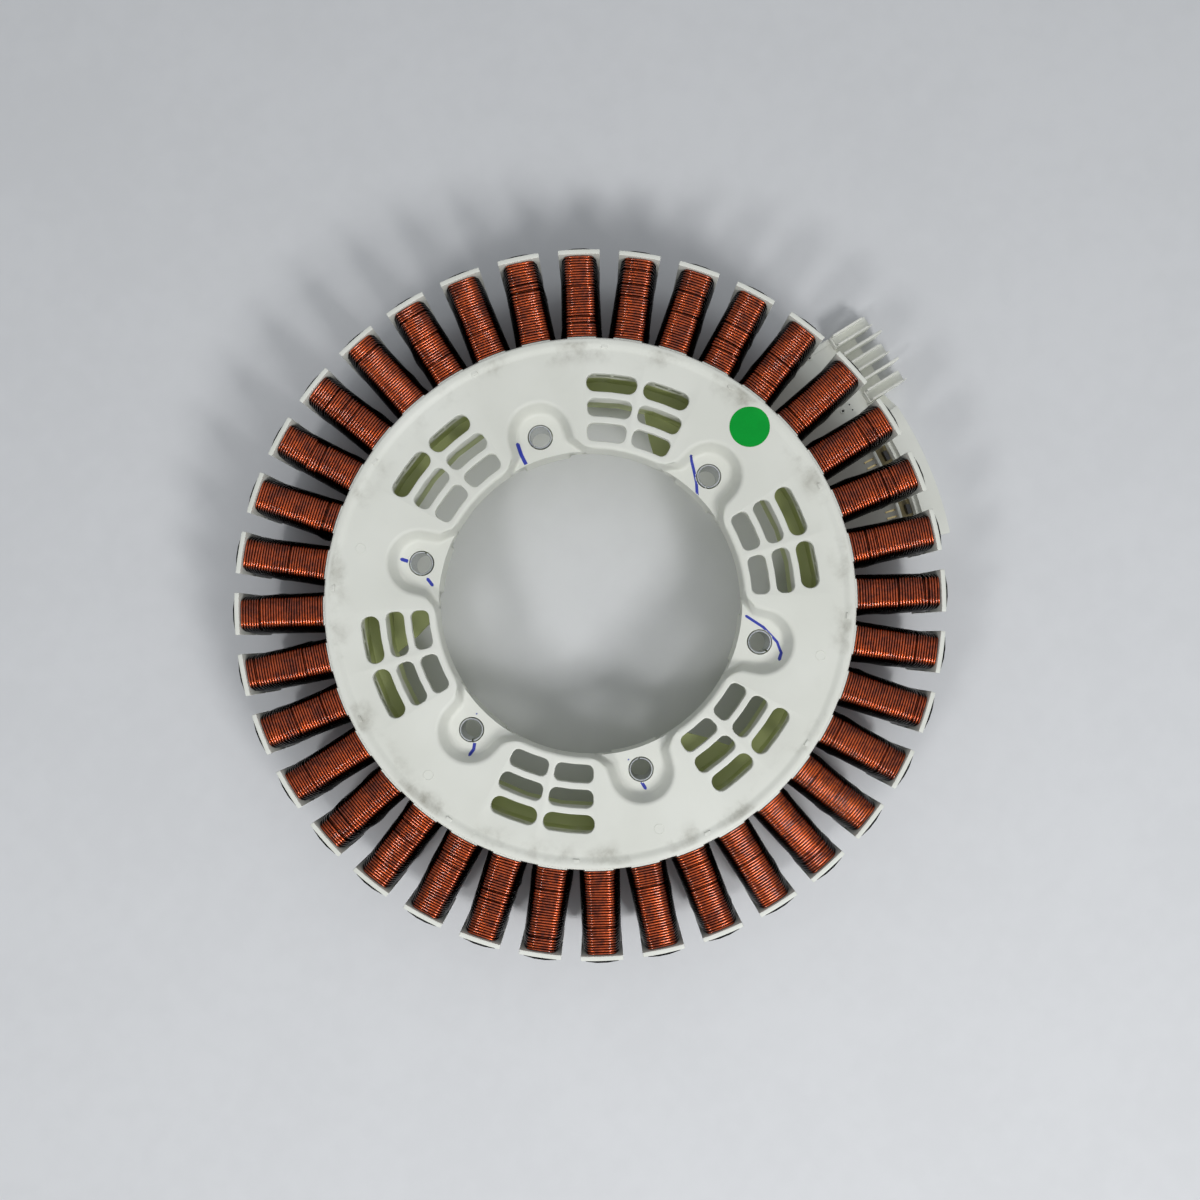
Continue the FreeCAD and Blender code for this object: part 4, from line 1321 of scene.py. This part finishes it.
def drape(obj, lift):
    """Lay a flat piece on the face plate, a little above it, and drop what hangs over a hole."""
    pick(obj)
    wrap = obj.modifiers.new("drape", "SHRINKWRAP")
    wrap.target = bpy.data.objects["rotor_side_moulding"]
    wrap.wrap_method = "PROJECT"
    wrap.use_project_x = False
    wrap.use_project_y = False
    wrap.use_project_z = True
    wrap.use_negative_direction = True
    wrap.use_positive_direction = False
    wrap.offset = lift
    bpy.ops.object.modifier_apply(modifier=wrap.name)
    bpy.context.tool_settings.mesh_select_mode = (True, False, False)
    for edge in obj.data.edges:
        edge.select = False
    for face in obj.data.polygons:
        face.select = False
    for vertex in obj.data.vertices:
        vertex.select = vertex.co.z > CAD_BOX[1][2] + 2.0 * lift
    bpy.ops.object.mode_set(mode="EDIT")
    bpy.ops.mesh.delete(type="VERT")
    close_edit()


def stroke(points, width):
    """Pen stroke through points, as a strip with blunt round ends that is laid on the plate."""
    line = []
    for before, after in zip(points, points[1:]):
        count = max(2, int((after - before).length / INK_STEP))
        line += [before.lerp(after, step / count) for step in range(count)]
    line.append(points[-1])
    deselect()
    bpy.ops.mesh.primitive_grid_add(x_subdivisions=len(line) - 1, y_subdivisions=4, size=1.0)
    strip = bpy.context.object
    total = len(line) - 1
    for vertex in strip.data.vertices:
        index = round((vertex.co.x + 0.5) * total)
        ahead = line[min(index + 1, total)] - line[max(index - 1, 0)]
        across = Vector((-ahead.y, ahead.x, 0.0)).normalized()
        from_end = min(index, total - index) * INK_STEP / (0.5 * width)
        taper = math.sqrt(max(0.05, 1.0 - max(0.0, 1.0 - from_end) ** 2))
        vertex.co = line[index] + across * (vertex.co.y * width * taper)
    drape(strip, INK_LIFT)
    return strip


def seen_points(pixels):
    """Points over the face plate that the camera sees there at places given in pixels of its picture."""
    height = 0.0212
    drop = EYE_RISE - (height - FLOOR_HEIGHT) * 1000.0
    lean = (AIM_UP - EYE_UP) / EYE_RISE
    side_lean = (AIM_RIGHT - EYE_RIGHT) / EYE_RISE
    places = []
    for column, row in pixels:
        across = (column - IMAGE_PIXELS / 2.0) / FOCAL_PIXELS
        upward = (IMAGE_PIXELS / 2.0 - row) / FOCAL_PIXELS
        reach = drop / (1.0 - lean * upward)
        places.append(photo_point(EYE_RIGHT + reach * (side_lean + across),
                                  EYE_UP + reach * (lean + upward), height + DROP_HEIGHT))
    return places


def round_label():
    """Paper disc laid on the face plate."""
    deselect()
    bpy.ops.mesh.primitive_circle_add(vertices=72, radius=LABEL_RADIUS, fill_type="TRIFAN",
                                      location=polar(*LABEL_PLACE, PLATE_TOP + DROP_HEIGHT))
    label = bpy.context.object
    label.name = "round_label"
    bake_place(label)
    edit(label)
    bpy.ops.mesh.subdivide(number_cuts=3)
    close_edit()
    drape(label, LABEL_LIFT)
    smooth(label, 40.0)
    return label


def ejector_marks():
    """Faint round rings that the ejector pins left on the face plate."""
    marks = []
    for index in (2, 3, 4, 5):
        deselect()
        bpy.ops.mesh.primitive_torus_add(location=polar(0.0865, BOLT_PITCH * index, 0.02098),
                                         major_radius=0.0018, minor_radius=0.00014,
                                         major_segments=40, minor_segments=8)
        ring = bpy.context.object
        bake_place(ring)
        marks.append(ring)
    marks = joined(marks, "ejector_marks")
    smooth(marks, 60.0)
    return marks


class STATOR_OT_markings(bpy.types.Operator):
    """Round label, ejector marks and marker ticks on the face plate"""
    bl_idname = "stator.markings"
    bl_label = "Label and marks"

    def execute(self, context):
        finish_piece(round_label(), bpy.data.materials["green label"])
        plastic = bpy.data.materials["rotor side plastic"]
        finish_piece(ejector_marks(), plastic)
        strokes = [stroke(seen_points(pixels), width) for pixels, width in PEN_TICKS]
        ink = joined(strokes, "marker_ticks")
        smooth(ink, 60.0)
        finish_piece(ink, bpy.data.materials["marker ink"])
        return {"FINISHED"}


def photo_camera():
    """Camera at the photographer's place, turned as the photo is."""
    data = bpy.data.cameras.new("camera")
    data.sensor_width = SENSOR_WIDTH
    data.lens = FOCAL_PIXELS / IMAGE_PIXELS * SENSOR_WIDTH
    data.clip_start = 0.01
    camera = bpy.data.objects.new("camera", data)
    bpy.context.scene.collection.objects.link(camera)
    eye = photo_point(EYE_RIGHT, EYE_UP, FLOOR_HEIGHT + EYE_RISE * 0.001)
    target = photo_point(AIM_RIGHT, AIM_UP, FLOOR_HEIGHT)
    forward = (target - eye).normalized()
    up_hint = turn_matrix(-PHOTO_TURN) @ Vector((0.0, 1.0, 0.0))
    right = forward.cross(up_hint).normalized()
    up = right.cross(forward)
    camera.matrix_world = Matrix((
        (right.x, up.x, -forward.x, eye.x),
        (right.y, up.y, -forward.y, eye.y),
        (right.z, up.z, -forward.z, eye.z),
        (0.0, 0.0, 0.0, 1.0)))
    return camera


def add_lamp(name, right, up, height, size, power):
    """Square lamp that points at the middle of the stator."""
    data = bpy.data.lights.new(name, "AREA")
    data.size = size
    data.energy = power
    lamp = bpy.data.objects.new(name, data)
    bpy.context.scene.collection.objects.link(lamp)
    spot = photo_point(right, up, height * 0.001)
    aim = (-spot).to_track_quat("-Z", "Y")
    lamp.matrix_world = Matrix.Translation(spot) @ aim.to_matrix().to_4x4()


class STATOR_OT_stage(bpy.types.Operator):
    """Pale floor, soft lights and the camera"""
    bl_idname = "stator.stage"
    bl_label = "Stage"

    def execute(self, context):
        scene = context.scene
        deselect()
        bpy.ops.mesh.primitive_grid_add(x_subdivisions=4, y_subdivisions=4, size=6.0,
                                        location=(0.0, 0.0, FLOOR_HEIGHT - 0.0002))
        floor = bpy.context.object
        floor.name = "floor"
        bake_place(floor)
        paper = matt_surface("floor paper", tuple(scene.stator_colours.floor), 0.75, 120.0, 0.97)
        floor.data.materials.append(paper)
        scene.camera = photo_camera()
        for lamp in LAMPS:
            add_lamp(*lamp)
        world = bpy.data.worlds.new("room")
        world.use_nodes = True
        background = world.node_tree.nodes["Background"]
        background.inputs["Color"].default_value = ROOM_COLOUR
        background.inputs["Strength"].default_value = ROOM_STRENGTH
        scene.world = world
        scene.view_settings.view_transform = "Standard"
        return {"FINISHED"}


class STATOR_PT_panel(bpy.types.Panel):
    """Operators of the stator"""
    bl_idname = "STATOR_PT_panel"
    bl_label = "Wound stator"
    bl_space_type = "VIEW_3D"
    bl_region_type = "UI"
    bl_category = "Stator"

    def draw(self, context):
        for operator in OPERATORS:
            self.layout.operator(operator.bl_idname)


OPERATORS = (
    STATOR_OT_finishes,
    STATOR_OT_face_plate,
    STATOR_OT_lead_side,
    STATOR_OT_windings,
    STATOR_OT_bushings,
    STATOR_OT_module,
    STATOR_OT_markings,
    STATOR_OT_stage,
)
CLASSES = (StatorSizes, StatorColours) + OPERATORS + (STATOR_PT_panel,)


def register():
    """Register the classes and the properties that they keep on the scene."""
    for cls in CLASSES:
        bpy.utils.register_class(cls)
    bpy.types.Scene.stator_sizes = bpy.props.PointerProperty(type=StatorSizes)
    bpy.types.Scene.stator_colours = bpy.props.PointerProperty(type=StatorColours)


def unregister():
    """Take the classes and their properties away again."""
    del bpy.types.Scene.stator_colours
    del bpy.types.Scene.stator_sizes
    for cls in reversed(CLASSES):
        bpy.utils.unregister_class(cls)


def main():
    """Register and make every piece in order."""
    register()
    deselect()
    for operator in OPERATORS:
        group, name = operator.bl_idname.split(".")
        result = getattr(getattr(bpy.ops, group), name)()
        if result != {"FINISHED"}:
            raise RuntimeError(operator.bl_label + " was not made")
    deselect()


if __name__ == "__main__":
    main()
